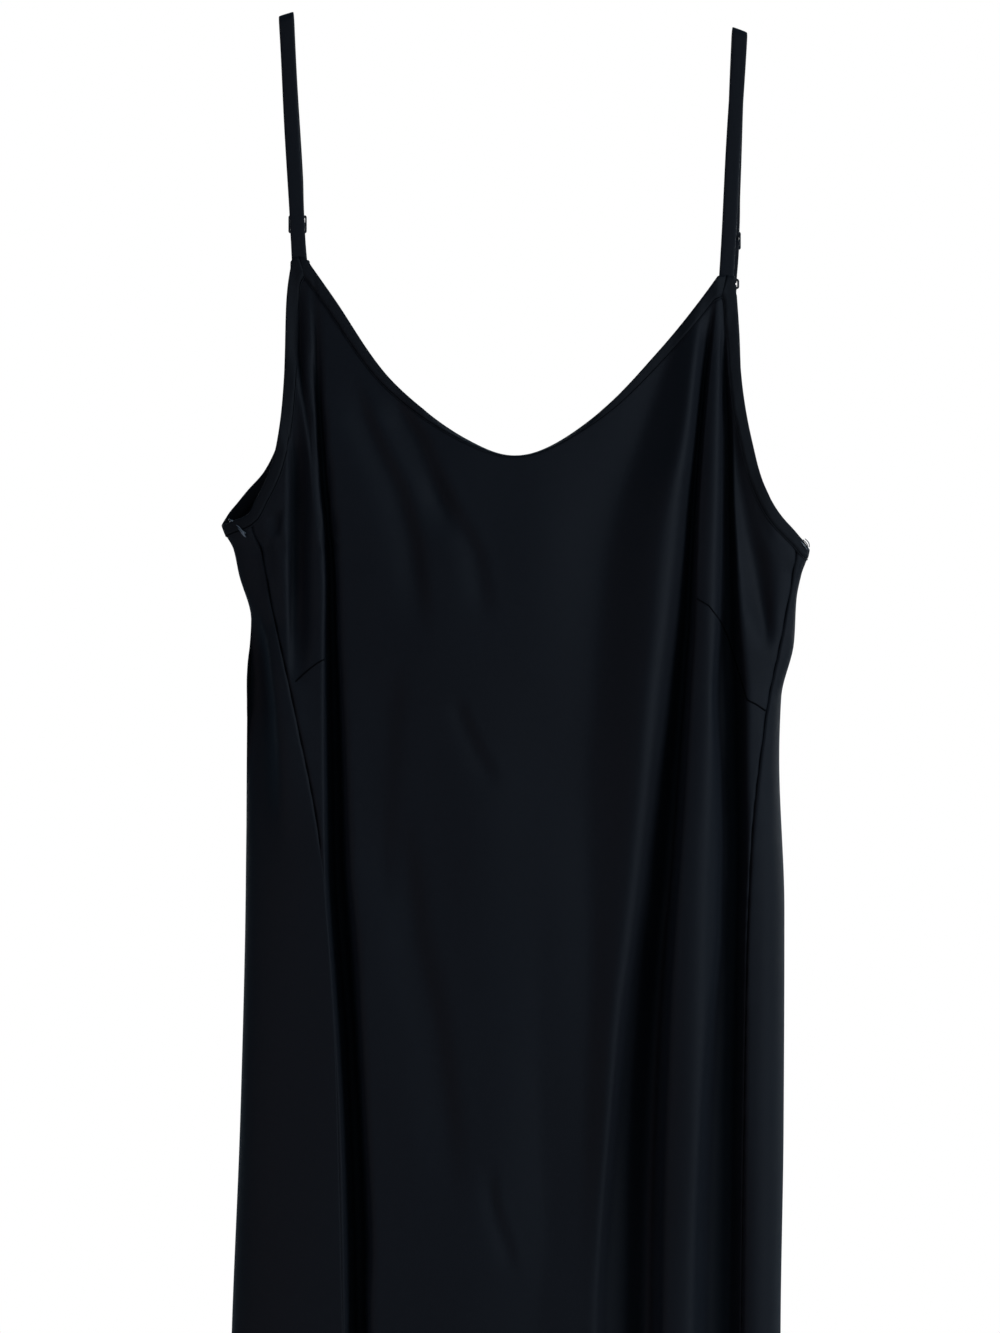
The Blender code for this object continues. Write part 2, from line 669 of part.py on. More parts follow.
def binding(name, outer_line, inner_line, rolled, material):
    """A binding as one closed strip along a finished edge."""
    lines = (inner_line, outer_line)
    face = np.array([cloth_point(line[:, 0], line[:, 1]) for line in lines])
    normal = np.array([cloth_normal(line[:, 0], line[:, 1], folded=False) for line in lines])
    if rolled:
        shown = np.linalg.norm(face[1] - face[0], axis=1)
        back = np.sqrt(np.clip(BINDING_WIDTH ** 2 - shown ** 2, 0, None))
        face[1] = face[1] - back[:, None] * normal[1]
        tipped = np.cross(np.gradient(face[1], axis=0), face[1] - face[0])
        normal[1] = tipped / np.linalg.norm(tipped, axis=1, keepdims=True)
    face = face + BINDING_PROUD * normal
    return wall(name, face, face - BINDING_CLOTH * normal, material)


# ---- straps and their hardware ---------------------------------------------------------------

def cloth_y(side, back):
    """Middle of the binding's wall at a strap point."""
    out = abs(cloth_point(*strap_foot(side, back))[1]) + BINDING_PROUD - BINDING_CLOTH / 2
    return out if back else -out


def arc(middle, radius, start, end, steps):
    """Points of an arc in the (y, z) plane, with its ends given in degrees."""
    turns = np.radians(np.linspace(start, end, steps + 1))
    return [(middle[0] + radius * math.cos(a), middle[1] + radius * math.sin(a)) for a in turns]


def ribbon(name, path, middles, drop, width, material):
    """A flat strip through (y, z) points, with the x of its middle and its drop at each point."""
    path = np.asarray(path, float)
    along = np.gradient(path, axis=0)
    along /= np.linalg.norm(along, axis=1, keepdims=True)
    outward = np.column_stack((-along[:, 1], along[:, 0])) * STRAP_CLOTH / 2
    grids = []
    for sign in (1, -1):
        edge = path + sign * outward
        rows = []
        for across in (-0.5, 0.5):
            x = middles + across * width
            rows.append(np.column_stack((x, edge[:, 0], edge[:, 1] + drop * across * width)))
        grids.append(np.stack(rows, axis=1))
    return wall(name, grids[0], grids[1], material)


def bar_height(side):
    """Height of the middle of a ring's upper bar."""
    return STRAPS[side].back_z + RING_LIFT + (RING_HEIGHT - RING_WIRE) / 2


def back_run_x(side, z):
    """x of the middle of a strap's back run, which hangs straight up from just over its ring."""
    line = STRAPS[side]
    foot = bar_height(side) + 2
    return line.back_x + np.clip((z - foot) / (line.top_z - foot), 0, 1) * (line.top_x - line.back_x)


def strap(side, material):
    """A strap from the front strap point over its turn, through the slider, round the ring and up."""
    line = STRAPS[side]
    top = line.top_z - STRAP_CLOTH / 2 - STRAP_TURN
    bar = (SLIDER_HEIGHT - SLIDER_BAR) / 2
    bar_z = bar_height(side)
    far, near = RING_Y + ROUND_BAR, RING_Y - ROUND_BAR  # the two runs of the strap at the ring
    behind = HARDWARE_Y - WEAVE  # the strap's run behind the slider's bars
    front = spline([(cloth_y(side, False), line.front_z + GAP), (-STRAP_TURN - 1, top - 70),
                    (-STRAP_TURN, top)], 8)
    over = arc((0, top), STRAP_TURN, 180, 0, 10)
    down = spline([(STRAP_TURN, top), (STRAP_TURN + 0.3, top - 70), (behind, line.slider_z + bar + 4)], 8)
    # The strap passes behind the slider's outer bars and in front of its middle one.
    steps = np.linspace(bar + 2.5, -bar, 14)
    weave = np.column_stack((HARDWARE_Y + WEAVE * np.cos(math.pi * np.clip(steps / bar, -1, 1)),
                             line.slider_z + steps))
    lead = spline([weave[-1], (far, bar_z + 1.5), (far, bar_z)], 5)
    under = arc((RING_Y, bar_z), ROUND_BAR, 0, -180, 8)
    up = spline([under[-1], (near, bar_z + 2), (behind - STRAP_CLOTH - 0.9, line.slider_z - bar),
                 (behind - 0.1, line.slider_z)], 8)
    path = np.vstack((front[:-1], over, down[1:], weave[1:], lead[1:], under[1:], up[1:]))
    rise = (path[:, 1] - line.front_z) / (line.top_z - line.front_z)
    middles = np.where(np.arange(len(path)) <= len(front) + len(over) // 2 - 1,
                       line.front_x + rise * (line.top_x - line.front_x), back_run_x(side, path[:, 1]))
    outwards = -1 if side == "right" else 1
    drop = outwards * line.slant * np.clip((path[:, 1] - top + 40) / 40, 0, 1) ** 2
    return ribbon(side + "_strap", path, middles, drop, STRAP_WIDTH, material)


def tab(side, material):
    """The folded strip that holds the ring to the back."""
    line = STRAPS[side]
    bar_z = line.back_z + RING_LIFT - (RING_HEIGHT - RING_WIRE) / 2
    layer = (STRAP_CLOTH + GAP) / 2
    foot = cloth_y(side, True)
    start = spline([(foot + layer, line.back_z + GAP), (RING_Y + ROUND_BAR, bar_z)], 4)
    end = spline([(RING_Y - ROUND_BAR, bar_z), (foot - layer, line.back_z + GAP)], 4)
    path = np.vstack((start[:-1], arc((RING_Y, bar_z), ROUND_BAR, 0, 180, 8), end[1:]))
    middles = np.full(len(path), line.back_x)
    return ribbon(side + "_tab", path, middles, np.zeros(len(path)), TAB_WIDTH, material)


def rounded_outline(width, height, corner, steps):
    """Points of a rectangle with round corners, as (x, z)."""
    points = []
    for turn, (sx, sz) in enumerate(((1, 1), (-1, 1), (-1, -1), (1, -1))):
        cx, cz = sx * (width / 2 - corner), sz * (height / 2 - corner)
        for a in np.radians(np.linspace(90 * turn, 90 * turn + 90, steps + 1)):
            points.append((cx + corner * math.cos(a), cz + corner * math.sin(a)))
    return points


def ring(side, material):
    """A wire loop with round corners, standing in the plane of the back."""
    line = STRAPS[side]
    middle = Vector((line.back_x, RING_Y, line.back_z + RING_LIFT))
    outline = rounded_outline(RING_WIDTH - RING_WIRE, RING_HEIGHT - RING_WIRE, RING_CORNER, 3)
    curve = bpy.data.curves.new(side + "_ring", "CURVE")
    curve.dimensions = "3D"
    curve.bevel_depth = RING_WIRE / 2 * MM
    curve.bevel_resolution = 1
    wire = curve.splines.new("POLY")
    wire.points.add(len(outline) - 1)
    for point, (x, z) in zip(wire.points, outline):
        place = (middle + Vector((x, 0, z))) * MM
        point.co = (*place, 1.0)
    wire.use_cyclic_u = True
    thing = bpy.data.objects.new(side + "_ring", curve)
    bpy.context.scene.collection.objects.link(thing)
    curve.materials.append(material)
    return thing


def slider(side, material):
    """A flat slider with three bars and two slots."""
    slider_z = STRAPS[side].slider_z
    middle = (back_run_x(side, slider_z), HARDWARE_Y, slider_z)
    work = bmesh.new()
    bmesh.ops.create_grid(work, x_segments=3, y_segments=5, size=0.5)
    side_bar = SLIDER_BAR + 0.1
    lines_x = (-SLIDER_WIDTH / 2, -SLIDER_WIDTH / 2 + side_bar, SLIDER_WIDTH / 2 - side_bar, SLIDER_WIDTH / 2)
    slot = (SLIDER_HEIGHT - 3 * SLIDER_BAR) / 2
    lines_z = np.cumsum((-SLIDER_HEIGHT / 2, SLIDER_BAR, slot, SLIDER_BAR, slot, SLIDER_BAR))
    for vert in work.verts:
        x = lines_x[round((vert.co.x + 0.5) * 3)]
        z = lines_z[round((vert.co.y + 0.5) * 5)]
        vert.co = (x, -SLIDER_THICKNESS / 2, z)
    slots = [face for face in work.faces if abs(face.calc_center_median().x) < 1
             and SLIDER_BAR / 2 < abs(face.calc_center_median().z) < SLIDER_HEIGHT / 2 - SLIDER_BAR]
    bmesh.ops.delete(work, geom=slots, context="FACES_ONLY")
    extruded = bmesh.ops.extrude_face_region(work, geom=work.faces[:])
    lifted = [item for item in extruded["geom"] if isinstance(item, bmesh.types.BMVert)]
    bmesh.ops.translate(work, vec=(0, SLIDER_THICKNESS, 0), verts=lifted)
    corners = [edge for edge in work.edges if abs(edge.verts[0].co.y - edge.verts[1].co.y) > 1
               and abs(edge.verts[0].co.x) > SLIDER_WIDTH / 2 - 0.01
               and abs(edge.verts[0].co.z) > SLIDER_HEIGHT / 2 - 0.01]
    bmesh.ops.bevel(work, geom=corners, offset=1.2, offset_type="OFFSET", affect="EDGES", segments=3,
                    profile=0.5, material=-1)
    bmesh.ops.translate(work, vec=middle, verts=work.verts)
    return finish(side + "_slider", work, material)


def main():
    for thing in list(bpy.data.objects):
        bpy.data.objects.remove(thing, do_unlink=True)
    crepe = make_material("black_crepe", (0.0075, 0.0085, 0.0115), 0.62)
    trim = make_material("black_crepe_trim", (0.0065, 0.0075, 0.0100), 0.66)
    strapping = make_material("black_strap", (0.0080, 0.0088, 0.0115), 0.58)
    coated = make_material("black_coated_metal", (0.0100, 0.0100, 0.0115), 0.32, 0.4)
    front_panel(crepe)
    back_panel(crepe)
    binding("front_neck_binding", *neck_binding_lines(False), True, trim)
    binding("back_neck_binding", *neck_binding_lines(True), False, trim)
    for side in STRAPS:
        binding(side + "_armhole_binding", *armhole_binding_lines(side), False, trim)
        strap(side, strapping)
        tab(side, strapping)
        ring(side, coated)
        slider(side, coated)


main()
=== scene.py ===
"""Black slip dress, the looks: cloth, bindings, straps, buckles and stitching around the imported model.

Lengths in the tables are millimetres and the meshes are in metres. +X is to the right as seen from
the front, the front faces -Y and +Z is up. The origin is midway between the tops of the straps.

The cloth is one closed ring at each level, as in the model's own source: an angle goes round the
ring (0 at the middle of the front, a quarter turn at the right side, half a turn at the middle of
the back), and a level runs down from the straps. Folds press the ring in.
"""

import math
from collections import namedtuple

import bmesh
import bpy
import numpy as np
from bpy.props import FloatProperty, FloatVectorProperty, PointerProperty
from mathutils import Matrix, Vector


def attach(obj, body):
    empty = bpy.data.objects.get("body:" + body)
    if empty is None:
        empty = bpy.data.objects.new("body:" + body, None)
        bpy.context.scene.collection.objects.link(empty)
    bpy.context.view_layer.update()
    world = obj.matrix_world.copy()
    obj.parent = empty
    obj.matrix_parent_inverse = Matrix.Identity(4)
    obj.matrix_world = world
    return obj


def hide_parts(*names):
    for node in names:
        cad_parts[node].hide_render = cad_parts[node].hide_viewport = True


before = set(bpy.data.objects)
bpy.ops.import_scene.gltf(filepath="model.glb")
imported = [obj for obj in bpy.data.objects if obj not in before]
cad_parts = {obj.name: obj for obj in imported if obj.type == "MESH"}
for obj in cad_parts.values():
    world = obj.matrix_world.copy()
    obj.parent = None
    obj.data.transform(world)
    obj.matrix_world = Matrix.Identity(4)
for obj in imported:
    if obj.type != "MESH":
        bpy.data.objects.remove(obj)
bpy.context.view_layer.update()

bl_info = {
    "name": "Slip Dress",
    "version": (1, 0, 0),
    "blender": (4, 5, 0),
    "location": "3D View > Sidebar > Slip Dress",
    "description": "Makes a hanging slip dress in black crepe, with its bindings, straps and stitching",
    "category": "Object",
}

MM = 0.001
LN2 = math.log(2.0)

# ---- the ring of cloth -----------------------------------------------------------------------

HEM_LEVEL = -1150.0
YOKE_LEVEL = -350.0  # the ring is whole below this level and cut away above it

# Half-sections of the ring: reach to each side, depth to the front and the back, squareness.
Section = namedtuple("Section", "level left right front back square")
SECTIONS = (
    Section(-1150, 189.0, 170.0, 45, 44, 3.0),
    Section(-838, 180.3, 170.2, 41, 40, 3.0),
    Section(-700, 174.8, 172.2, 39, 38, 3.0),
    Section(-560, 171.6, 172.8, 37, 36, 2.8),
    Section(-465, 171.0, 169.6, 34, 33, 2.5),
    Section(-425, 170.5, 170.9, 32, 31, 2.3),
    Section(-389, 168.3, 179.2, 30, 29, 2.1),
    Section(-361, 176.0, 180.8, 29, 27, 1.9),
    Section(-345, 179.5, 184.0, 28, 26, 1.8),
    Section(-329, 187.0, 188.8, 27, 25, 1.8),
    Section(-276, 187.0, 188.8, 23, 21, 2.1),
    Section(-200, 187.0, 188.8, 15, 15, 2.2),
    Section(-140, 187.0, 188.8, 11, 12, 2.2),
)

# How much a level drops for each millimetre to the right.
Tilt = namedtuple("Tilt", "level drop")
TILTS = (Tilt(-1150, 0.020), Tilt(-838, 0.030), Tilt(-340, 0.043), Tilt(-160, 0.044), Tilt(0, 0.035))

# Place of each side seam, both on the front, because the back panel wraps forward.
Seam = namedtuple("Seam", "level left right")
SEAMS = (
    Seam(-1150, -99.0, 141.0),
    Seam(-838, -107.5, 143.0),
    Seam(-620, -114.0, 146.0),
    Seam(-530, -122.5, 149.5),
    Seam(-440, -140.0, 160.0),
    Seam(-380, -154.5, 172.0),
    Seam(-345, -161.5, 178.5),
    Seam(-325, -169.0, 180.5),
)

# Folds of the front. The rows run down each fold: height, place, half-width at half depth to the
# left and to the right, depth. A negative depth is a ridge. The two edges tell how steep each wall
# is: 2 is soft and 5 is a sharp lip. Heights and places are as seen from the front.
Fold = namedtuple("Fold", "name left_edge right_edge rows")
FRONT_FOLDS = (
    Fold("left main fold", 5, 3.4, (
        (-168, -127.2, 1.4, 1.2, 0),
        (-208, -126.6, 2.0, 1.8, 4.5),
        (-248, -124.4, 2.6, 2.0, 9),
        (-291, -121.6, 2.9, 2.4, 13),
        (-325, -118.6, 2.9, 2.6, 17),
        (-360, -117.0, 3.2, 3.0, 20),
        (-394, -116.4, 4.0, 3.2, 23),
        (-427, -115.6, 4.6, 3.8, 26),
        (-484, -114.4, 5.2, 4.6, 29),
        (-540, -113.4, 5.4, 5.2, 31),
        (-587, -110.6, 5.4, 6.2, 33),
        (-638, -106.6, 5.6, 5.4, 34),
        (-702, -103.0, 5.8, 5.2, 34),
        (-779, -99.8, 6.6, 5.6, 34),
        (-824, -98.8, 6.8, 4.2, 34),
        (-1150, -94.5, 8.4, 7.0, 34),
    )),
    Fold("right main fold", 1.7, 4, (
        (-177, 127.4, 1.6, 1.6, 0),
        (-209, 123.8, 2.4, 1.8, 5),
        (-260, 118.6, 3.2, 2.0, 9),
        (-305, 115.2, 4.4, 2.0, 12),
        (-344, 113.2, 5.0, 2.2, 16),
        (-382, 111.4, 6.4, 2.6, 18),
        (-433, 107.8, 8.6, 3.0, 21),
        (-484, 104.2, 10.4, 3.4, 24),
        (-536, 100.4, 11.8, 3.6, 25),
        (-587, 96.6, 12.2, 3.6, 24),
        (-638, 93.0, 12.6, 4.0, 20),
        (-702, 90.0, 13.0, 4.4, 17),
        (-779, 87.6, 12.6, 4.8, 15),
        (-1150, 84.0, 13.0, 5.4, 15),
    )),
    Fold("right main fold's floor", 6, 8, (
        (-560, 91.0, 9.0, 8.0, 0),
        (-587, 88.6, 10.0, 10.0, 4),
        (-638, 84.0, 12.2, 12.4, 8),
        (-702, 79.8, 14.6, 14.0, 11),
        (-779, 75.6, 17.0, 16.0, 12),
        (-824, 74.6, 18.2, 16.2, 12),
        (-1150, 71.6, 19.0, 16.6, 12),
    )),
    Fold("right outer fold", 6, 3.2, (
        (-190, 134.8, 1.6, 1.6, 0),
        (-209, 134.2, 1.8, 1.8, 3),
        (-260, 136.2, 3.0, 2.6, 9),
        (-305, 136.6, 3.6, 3.0, 13),
        (-344, 137.0, 4.2, 4.0, 16),
        (-382, 137.6, 6.0, 4.8, 18),
        (-433, 138.4, 9.2, 7.0, 21),
        (-484, 140.0, 8.0, 6.0, 21),
        (-536, 141.2, 8.6, 5.6, 19),
        (-587, 141.0, 9.4, 4.8, 19),
        (-638, 138.8, 11.6, 6.6, 20),
        (-702, 137.2, 14.2, 7.4, 21),
        (-779, 136.4, 16.0, 8.0, 21),
        (-1150, 134.2, 16.4, 8.4, 21),
    )),
    Fold("left strap crease", 2.4, 2, (
        (-164, -137.2, 1.3, 1.3, 0),
        (-180, -137.4, 1.5, 1.7, 3.6),
        (-209, -137.2, 2.4, 2.2, 6.5),
        (-231, -135.6, 1.8, 1.9, 4.4),
        (-253, -132.2, 1.5, 1.8, 3.4),
        (-279, -128.4, 1.3, 1.7, 3.0),
        (-308, -125.2, 1.2, 1.6, 2.2),
        (-333, -122.4, 1.1, 1.5, 1.2),
        (-353, -120.6, 1.1, 1.5, 0),
    )),
    Fold("left hollow", 6, 2.4, (
        (-226, -140.4, 3.0, 3.0, 0),
        (-260, -139.6, 4.2, 4.2, 3.4),
        (-280, -139.0, 4.8, 5.0, 9.0),
        (-305, -138.6, 5.2, 5.4, 12.0),
        (-344, -138.4, 5.4, 5.0, 12.0),
        (-382, -138.6, 5.0, 5.6, 8.0),
        (-404, -138.6, 4.4, 4.8, 4.0),
        (-424, -138.8, 4.0, 4.0, 0),
    )),
    Fold("left side hollow", 2, 8, (
        (-374, -175.0, 30, 11.0, 0),
        (-382, -175.0, 30, 11.6, 5),
        (-395, -175.0, 30, 14.6, 14),
        (-408, -175.0, 30, 16.0, 21),
        (-420, -175.0, 30, 17.2, 24),
        (-433, -175.0, 30, 18.4, 24),
        (-446, -175.0, 30, 19.4, 22),
        (-459, -175.0, 30, 20.4, 18),
        (-484, -175.0, 30, 21.4, 11),
        (-512, -175.0, 30, 22.4, 4),
        (-540, -175.0, 30, 23.0, 0),
    )),
    Fold("left side swell", 2, 2, (
        (-385, -159.0, 5, 12, 0),
        (-400, -156.6, 6, 14, -4),
        (-420, -153.6, 6, 14, -7),
        (-446, -151.4, 6, 14, -7),
        (-484, -149.0, 6, 14, -4),
        (-520, -148.0, 6, 14, 0),
    )),
    Fold("soft fold", 1.6, 1.5, (
        (-180, 112.0, 8, 4.0, 0),
        (-209, 101.0, 12, 5.0, 3.4),
        (-260, 83.6, 18, 8.0, 5.6),
        (-305, 69.0, 20, 12.0, 6.4),
        (-344, 60.6, 22, 14.0, 6.6),
        (-382, 56.0, 22, 15.0, 6.4),
        (-433, 52.0, 22, 14.0, 5.6),
        (-484, 47.0, 22, 15.0, 4.6),
        (-536, 48.0, 18, 11.0, 3.6),
        (-587, 50.0, 14, 7.0, 2.8),
        (-638, 48.6, 11, 6.0, 2.2),
        (-702, 46.4, 9, 5.0, 1.8),
        (-779, 44.0, 9, 6.0, 0.6),
        (-1150, 42.0, 10, 7.0, 0.8),
    )),
    Fold("middle crease", 1.35, 1.35, (
        (-540, 17.0, 20, 18, 0),
        (-587, 16.0, 24, 18, 1.6),
        (-638, 16.0, 26, 18, 2.8),
        (-702, 16.8, 28, 20, 4.6),
        (-779, 20.6, 30, 22, 5.0),
        (-824, 16.0, 30, 24, 4.6),
        (-1150, 12.0, 30, 26, 5.0),
    )),
    Fold("thin ridge", 1.5, 3, (
        (-184, 118.0, 4.5, 3.0, 0),
        (-209, 114.4, 5.6, 4.4, -5.4),
        (-260, 108.2, 8.6, 7.0, -10.5),
        (-305, 98.8, 13.0, 11.0, -13.0),
        (-344, 92.8, 15.0, 13.6, -12.8),
        (-382, 89.6, 16.0, 13.0, -12.0),
        (-433, 84.8, 16.0, 12.4, -10.6),
        (-484, 81.6, 14.0, 9.6, -8.6),
        (-536, 76.8, 10.5, 7.8, -6.8),
        (-587, 70.0, 8.6, 7.0, -5.2),
        (-638, 63.0, 6.6, 5.4, -4.0),
        (-702, 58.6, 5.6, 4.4, -2.8),
        (-779, 54.6, 6.0, 4.0, -0.8),
        (-824, 52.0, 6.0, 4.0, 0),
    )),
    Fold("right tube", 2, 2.6, (
        (-209, 129.6, 3.6, 3.0, -2.0),
        (-260, 128.0, 6.4, 4.0, -5.0),
        (-305, 127.0, 9.0, 5.0, -8.0),
        (-344, 125.6, 11.0, 5.8, -10.0),
        (-382, 124.8, 11.8, 5.8, -11.0),
        (-433, 124.4, 14.4, 4.8, -11.5),
        (-484, 121.8, 15.0, 7.4, -11.5),
        (-536, 118.4, 16.0, 9.4, -11.0),
        (-587, 116.4, 17.0, 9.8, -11.0),
        (-638, 114.8, 17.6, 10.0, -11.0),
        (-702, 113.0, 18.0, 9.6, -11.0),
        (-829, 108.6, 18.0, 9.6, -11.5),
        (-1150, 105.0, 18.0, 9.6, -11.5),
    )),
    Fold("right side hollow", 1.7, 2, (
        (-246, 139.6, 2.0, 2.0, 0),
        (-262, 140.8, 3.0, 2.2, 2.4),
        (-290, 143.2, 4.6, 4.6, 5.6),
        (-305, 145.6, 5.4, 6.4, 7.6),
        (-326, 149.6, 7.6, 7.4, 9.6),
        (-344, 154.4, 9.4, 7.0, 11.6),
        (-366, 158.2, 8.6, 5.4, 12.0),
        (-384, 161.0, 6.0, 3.6, 8.6),
        (-402, 162.4, 4.0, 3.0, 0),
    )),
    Fold("right side tube", 2, 2, (
        (-420, 163.5, 8.0, 8.0, 0),
        (-520, 162.6, 8.0, 8.0, -3.6),
        (-840, 161.0, 9.0, 9.0, -5.0),
        (-1150, 160.0, 9.0, 9.0, -5.0),
    )),
    Fold("middle swell", 2, 2, (
        (-430, -20.0, 30, 30, 0),
        (-620, -8.0, 34, 34, -2.0),
        (-840, -4.0, 36, 36, -3.0),
        (-1150, -6.0, 34, 34, -6.0),
    )),
)

# Folds of the back, with their place, half-width and depth at the five levels.
FIVE_LEVELS = (-1150, -838, -520, -350, -200)
BackFold = namedtuple("BackFold", "name edge place half depth")
BACK_FOLDS = (
    BackFold("back left side fold", 2,
             (-150, -147, -143, -146, -150), (10, 9, 8, 6, 5), (12, 10, 8, 3, 0)),
    BackFold("back left fold", 3,
             (-84, -88, -101, -119, -133), (13, 11, 8, 5, 2.5), (27, 25, 20, 12, 3)),
    BackFold("back left ridge", 2,
             (-58, -62, -78, -96, -120), (9, 9, 9, 8, 6), (-6, -6, -5, -3, -1)),
    BackFold("back middle soft fold", 2,
             (-18, -22, -30, -45, -60), (15, 14, 13, 12, 8), (13, 11, 8, 4, 1)),
    BackFold("back middle ridge", 2,
             (16, 14, 8, 2, 0), (11, 10, 9, 8, 8), (-4, -4, -3, -1, 0)),
    BackFold("back right soft fold", 2,
             (52, 50, 46, 50, 62), (13, 12, 10, 9, 7), (16, 13, 8, 3, 0)),
    BackFold("back right ridge", 2,
             (76, 76, 78, 92, 118), (8, 8, 8, 7, 5), (-5, -5, -4, -3, -1)),
    BackFold("back right fold", 3,
             (104, 105, 107, 119, 132), (12, 10, 8, 5, 2.5), (25, 23, 19, 12, 3)),
    BackFold("back right side fold", 2,
             (150, 149, 147, 149, 152), (9, 9, 8, 6, 5), (13, 11, 9, 4, 0)),
)
FOLD_END = 9  # half-widths from its line at which a fold has run out
FADE_LEVEL = -156.0  # folds and unevenness begin here, at the strap points
FADE_LENGTH = 60.0

# Soft creases: half-width, how deep it lies, how much its right (or lower) side stands up, and
# (x, z) points along it. The front's are as seen from the front.
Crease = namedtuple("Crease", "half depth lip points")
EASY_SIDE = 2.6  # a crease falls away this much more slowly on its left
LIP_PLACE = 2.2  # half-widths from a crease's line to the middle of its raised side
CREASE_POINTS = 24
CREASE_START = 0.22  # share of its length in which a crease deepens, and in which it runs out
CREASE_END = 0.3
FRONT_CREASES = (
    Crease(3.8, 3.5, 0.3, ((-104.6, -222), (-95.8, -252.8), (-86.2, -275.2), (-74.1, -299.5),
                           (-65.4, -330.2), (-60.6, -366), (-58.0, -400))),
    Crease(3.6, 3.6, 0.3, ((-81, -236), (-74.1, -246.4), (-62.0, -265.0), (-51.7, -290.0),
                           (-44.0, -312), (-40.0, -334))),
    Crease(3.2, 2.2, 0.2, ((-56, -280), (-38, -314), (-24.6, -338.6), (-14.6, -390))),
    Crease(2.4, 1.8, 0.4, ((-38, -430), (-30.9, -449.3), (-21.3, -469.8), (-8.0, -490))),
    Crease(6.0, 3.4, 0.2, ((-74, -490), (-69.3, -535.7), (-63.2, -586.9), (-51.0, -638.0),
                           (-42.8, -702.0), (-38, -770))),
    Crease(2.2, 1.8, 0.4, ((-16.0, -730), (-12.3, -759.7), (3.0, -804))),
    Crease(6.0, 2.4, 0.0, ((-76.0, -400), (-80.0, -440), (-84.0, -520), (-86.0, -580))),
    Crease(2.8, 2.6, 0.5, ((-165.4, -322), (-163.8, -345), (-160.0, -370))),
    Crease(2.0, 2.2, 0.5, ((-158.6, -328), (-156.0, -342), (-154.8, -360))),
    Crease(1.7, 2.4, 0.5, ((-151.0, -312), (-152.2, -330))),
    Crease(2.6, 1.0, 0.6, ((150.0, -282), (158.0, -316), (165.0, -338))),
    Crease(9.0, 2.0, 0.0, ((-46, -860), (-36, -960), (-32, -1150))),
)
BACK_CREASES = (
    Crease(6.0, 2.0, 1.0, ((100, -240), (84, -290), (66, -345), (52, -400))),
    Crease(5.0, 1.8, 0.8, ((-96, -246), (-82, -292), (-66, -330), (-50, -376))),
    Crease(3.4, 1.0, 0.4, ((58, -300), (34, -350), (16, -402))),
    Crease(3.0, 1.0, 0.5, ((-40, -470), (-24, -520), (-12, -570))),
    Crease(6.0, 1.4, 0.7, ((70, -560), (58, -640), (52, -720), (50, -790))),
    Crease(2.6, 1.1, 0.5, ((-14, -640), (-12, -720), (-18, -800))),
    Crease(6.5, 1.5, 0.6, ((-60, -820), (-52, -930), (-50, -1060))),
    Crease(5.0, 1.4, 0.6, ((128, -330), (132, -380), (128, -440))),
)

# Finished edges, as (x, z) points of smooth curves.
FRONT_NECK = ((-133.0, -151.0), (-112.6, -180.5), (-77.5, -230.5), (-30.0, -267.0), (8.0, -276.5),
              (52.0, -252.0), (92.6, -210.3), (129.8, -163.0))
BACK_NECK = ((-132.5, -160.5), (-112.0, -196.0), (-76.0, -246.0), (-30.0, -283.0), (8.0, -293.0),
             (52.0, -271.0), (97.0, -228.0), (133.5, -172.5))
LEFT_ARMHOLE_FRONT = ((-141.6, -151.0), (-145.2, -178.0), (-146.6, -228.0), (-149.8, -262.0),
                      (-155.6, -287.0), (-165.0, -306.0), (-172.8, -316.5))
LEFT_ARMHOLE_BACK = ((-181.0, -311.0), (-170.6, -298.0), (-159.6, -284.5), (-150.5, -262.0),
                     (-146.0, -225.0), (-142.0, -160.5))
RIGHT_ARMHOLE_FRONT = ((140.8, -163.0), (142.4, -190.0), (145.6, -235.0), (151.8, -270.0),
                       (160.2, -298.5), (174.4, -321.0))
RIGHT_ARMHOLE_BACK = ((177.0, -321.0), (163.0, -300.0), (153.0, -272.0), (147.0, -236.0),
                      (145.0, -198.0), (143.2, -172.5))
UNDERARM_TIP = {"left": -321.5, "right": -337.0}
APEX = {
    "front left": (-133.6, -163.5),
    "front right": (132.6, -176.0),
    "back left": (-134.6, -174.0),
    "back right": (135.6, -187.0),
}

# Lines that the columns of the panels follow, as x at the five levels. A guide has its line, the
# columns from it to the next, and where it ends on the panel's top: a seam, an apex, the ring's
# side, an x of the neck or a z of an armhole.
GUIDE_LINES = {
    "left main fold": (-92, -98.6, -113, -115, -126),
    "right soft fold": (48, 50, 59.5, 75.5, 107),
    "right main fold": (68, 75.5, 95.4, 109.4, 123),
    "right tube": (104, 108, 120, 123, 130),
    "right outer fold": (134, 136.3, 142.7, 137.3, 136.3),
}
Guide = namedtuple("Guide", "line columns top")
FRONT_GUIDES = (
    Guide("left seam", 28, "seam"),
    Guide("left main fold", 36, "apex"),
    Guide("middle", 26, -10.0),
    Guide("right soft fold", 22, 103.0),
    Guide("right main fold", 18, 123.0),
    Guide("right tube", 16, "apex"),
    Guide("right outer fold", 22, -215.0),
    Guide("right seam", 0, "seam"),
)
BACK_GUIDES = (
    Guide("right seam", 9, "seam"),
    Guide("right side", 12, "side"),
    Guide("back right side fold", 20, -262.0),
    Guide("back right fold", 24, "apex"),
    Guide("back right soft fold", 22, 60.0),
    Guide("back middle soft fold", 24, -52.0),
    Guide("back left fold", 20, "apex"),
    Guide("back left side fold", 12, -252.0),
    Guide("left side", 18, "side"),
    Guide("left seam", 0, "seam"),
)
SEAM_COVERED = -545.0  # the left main fold hides the left side seam below this level
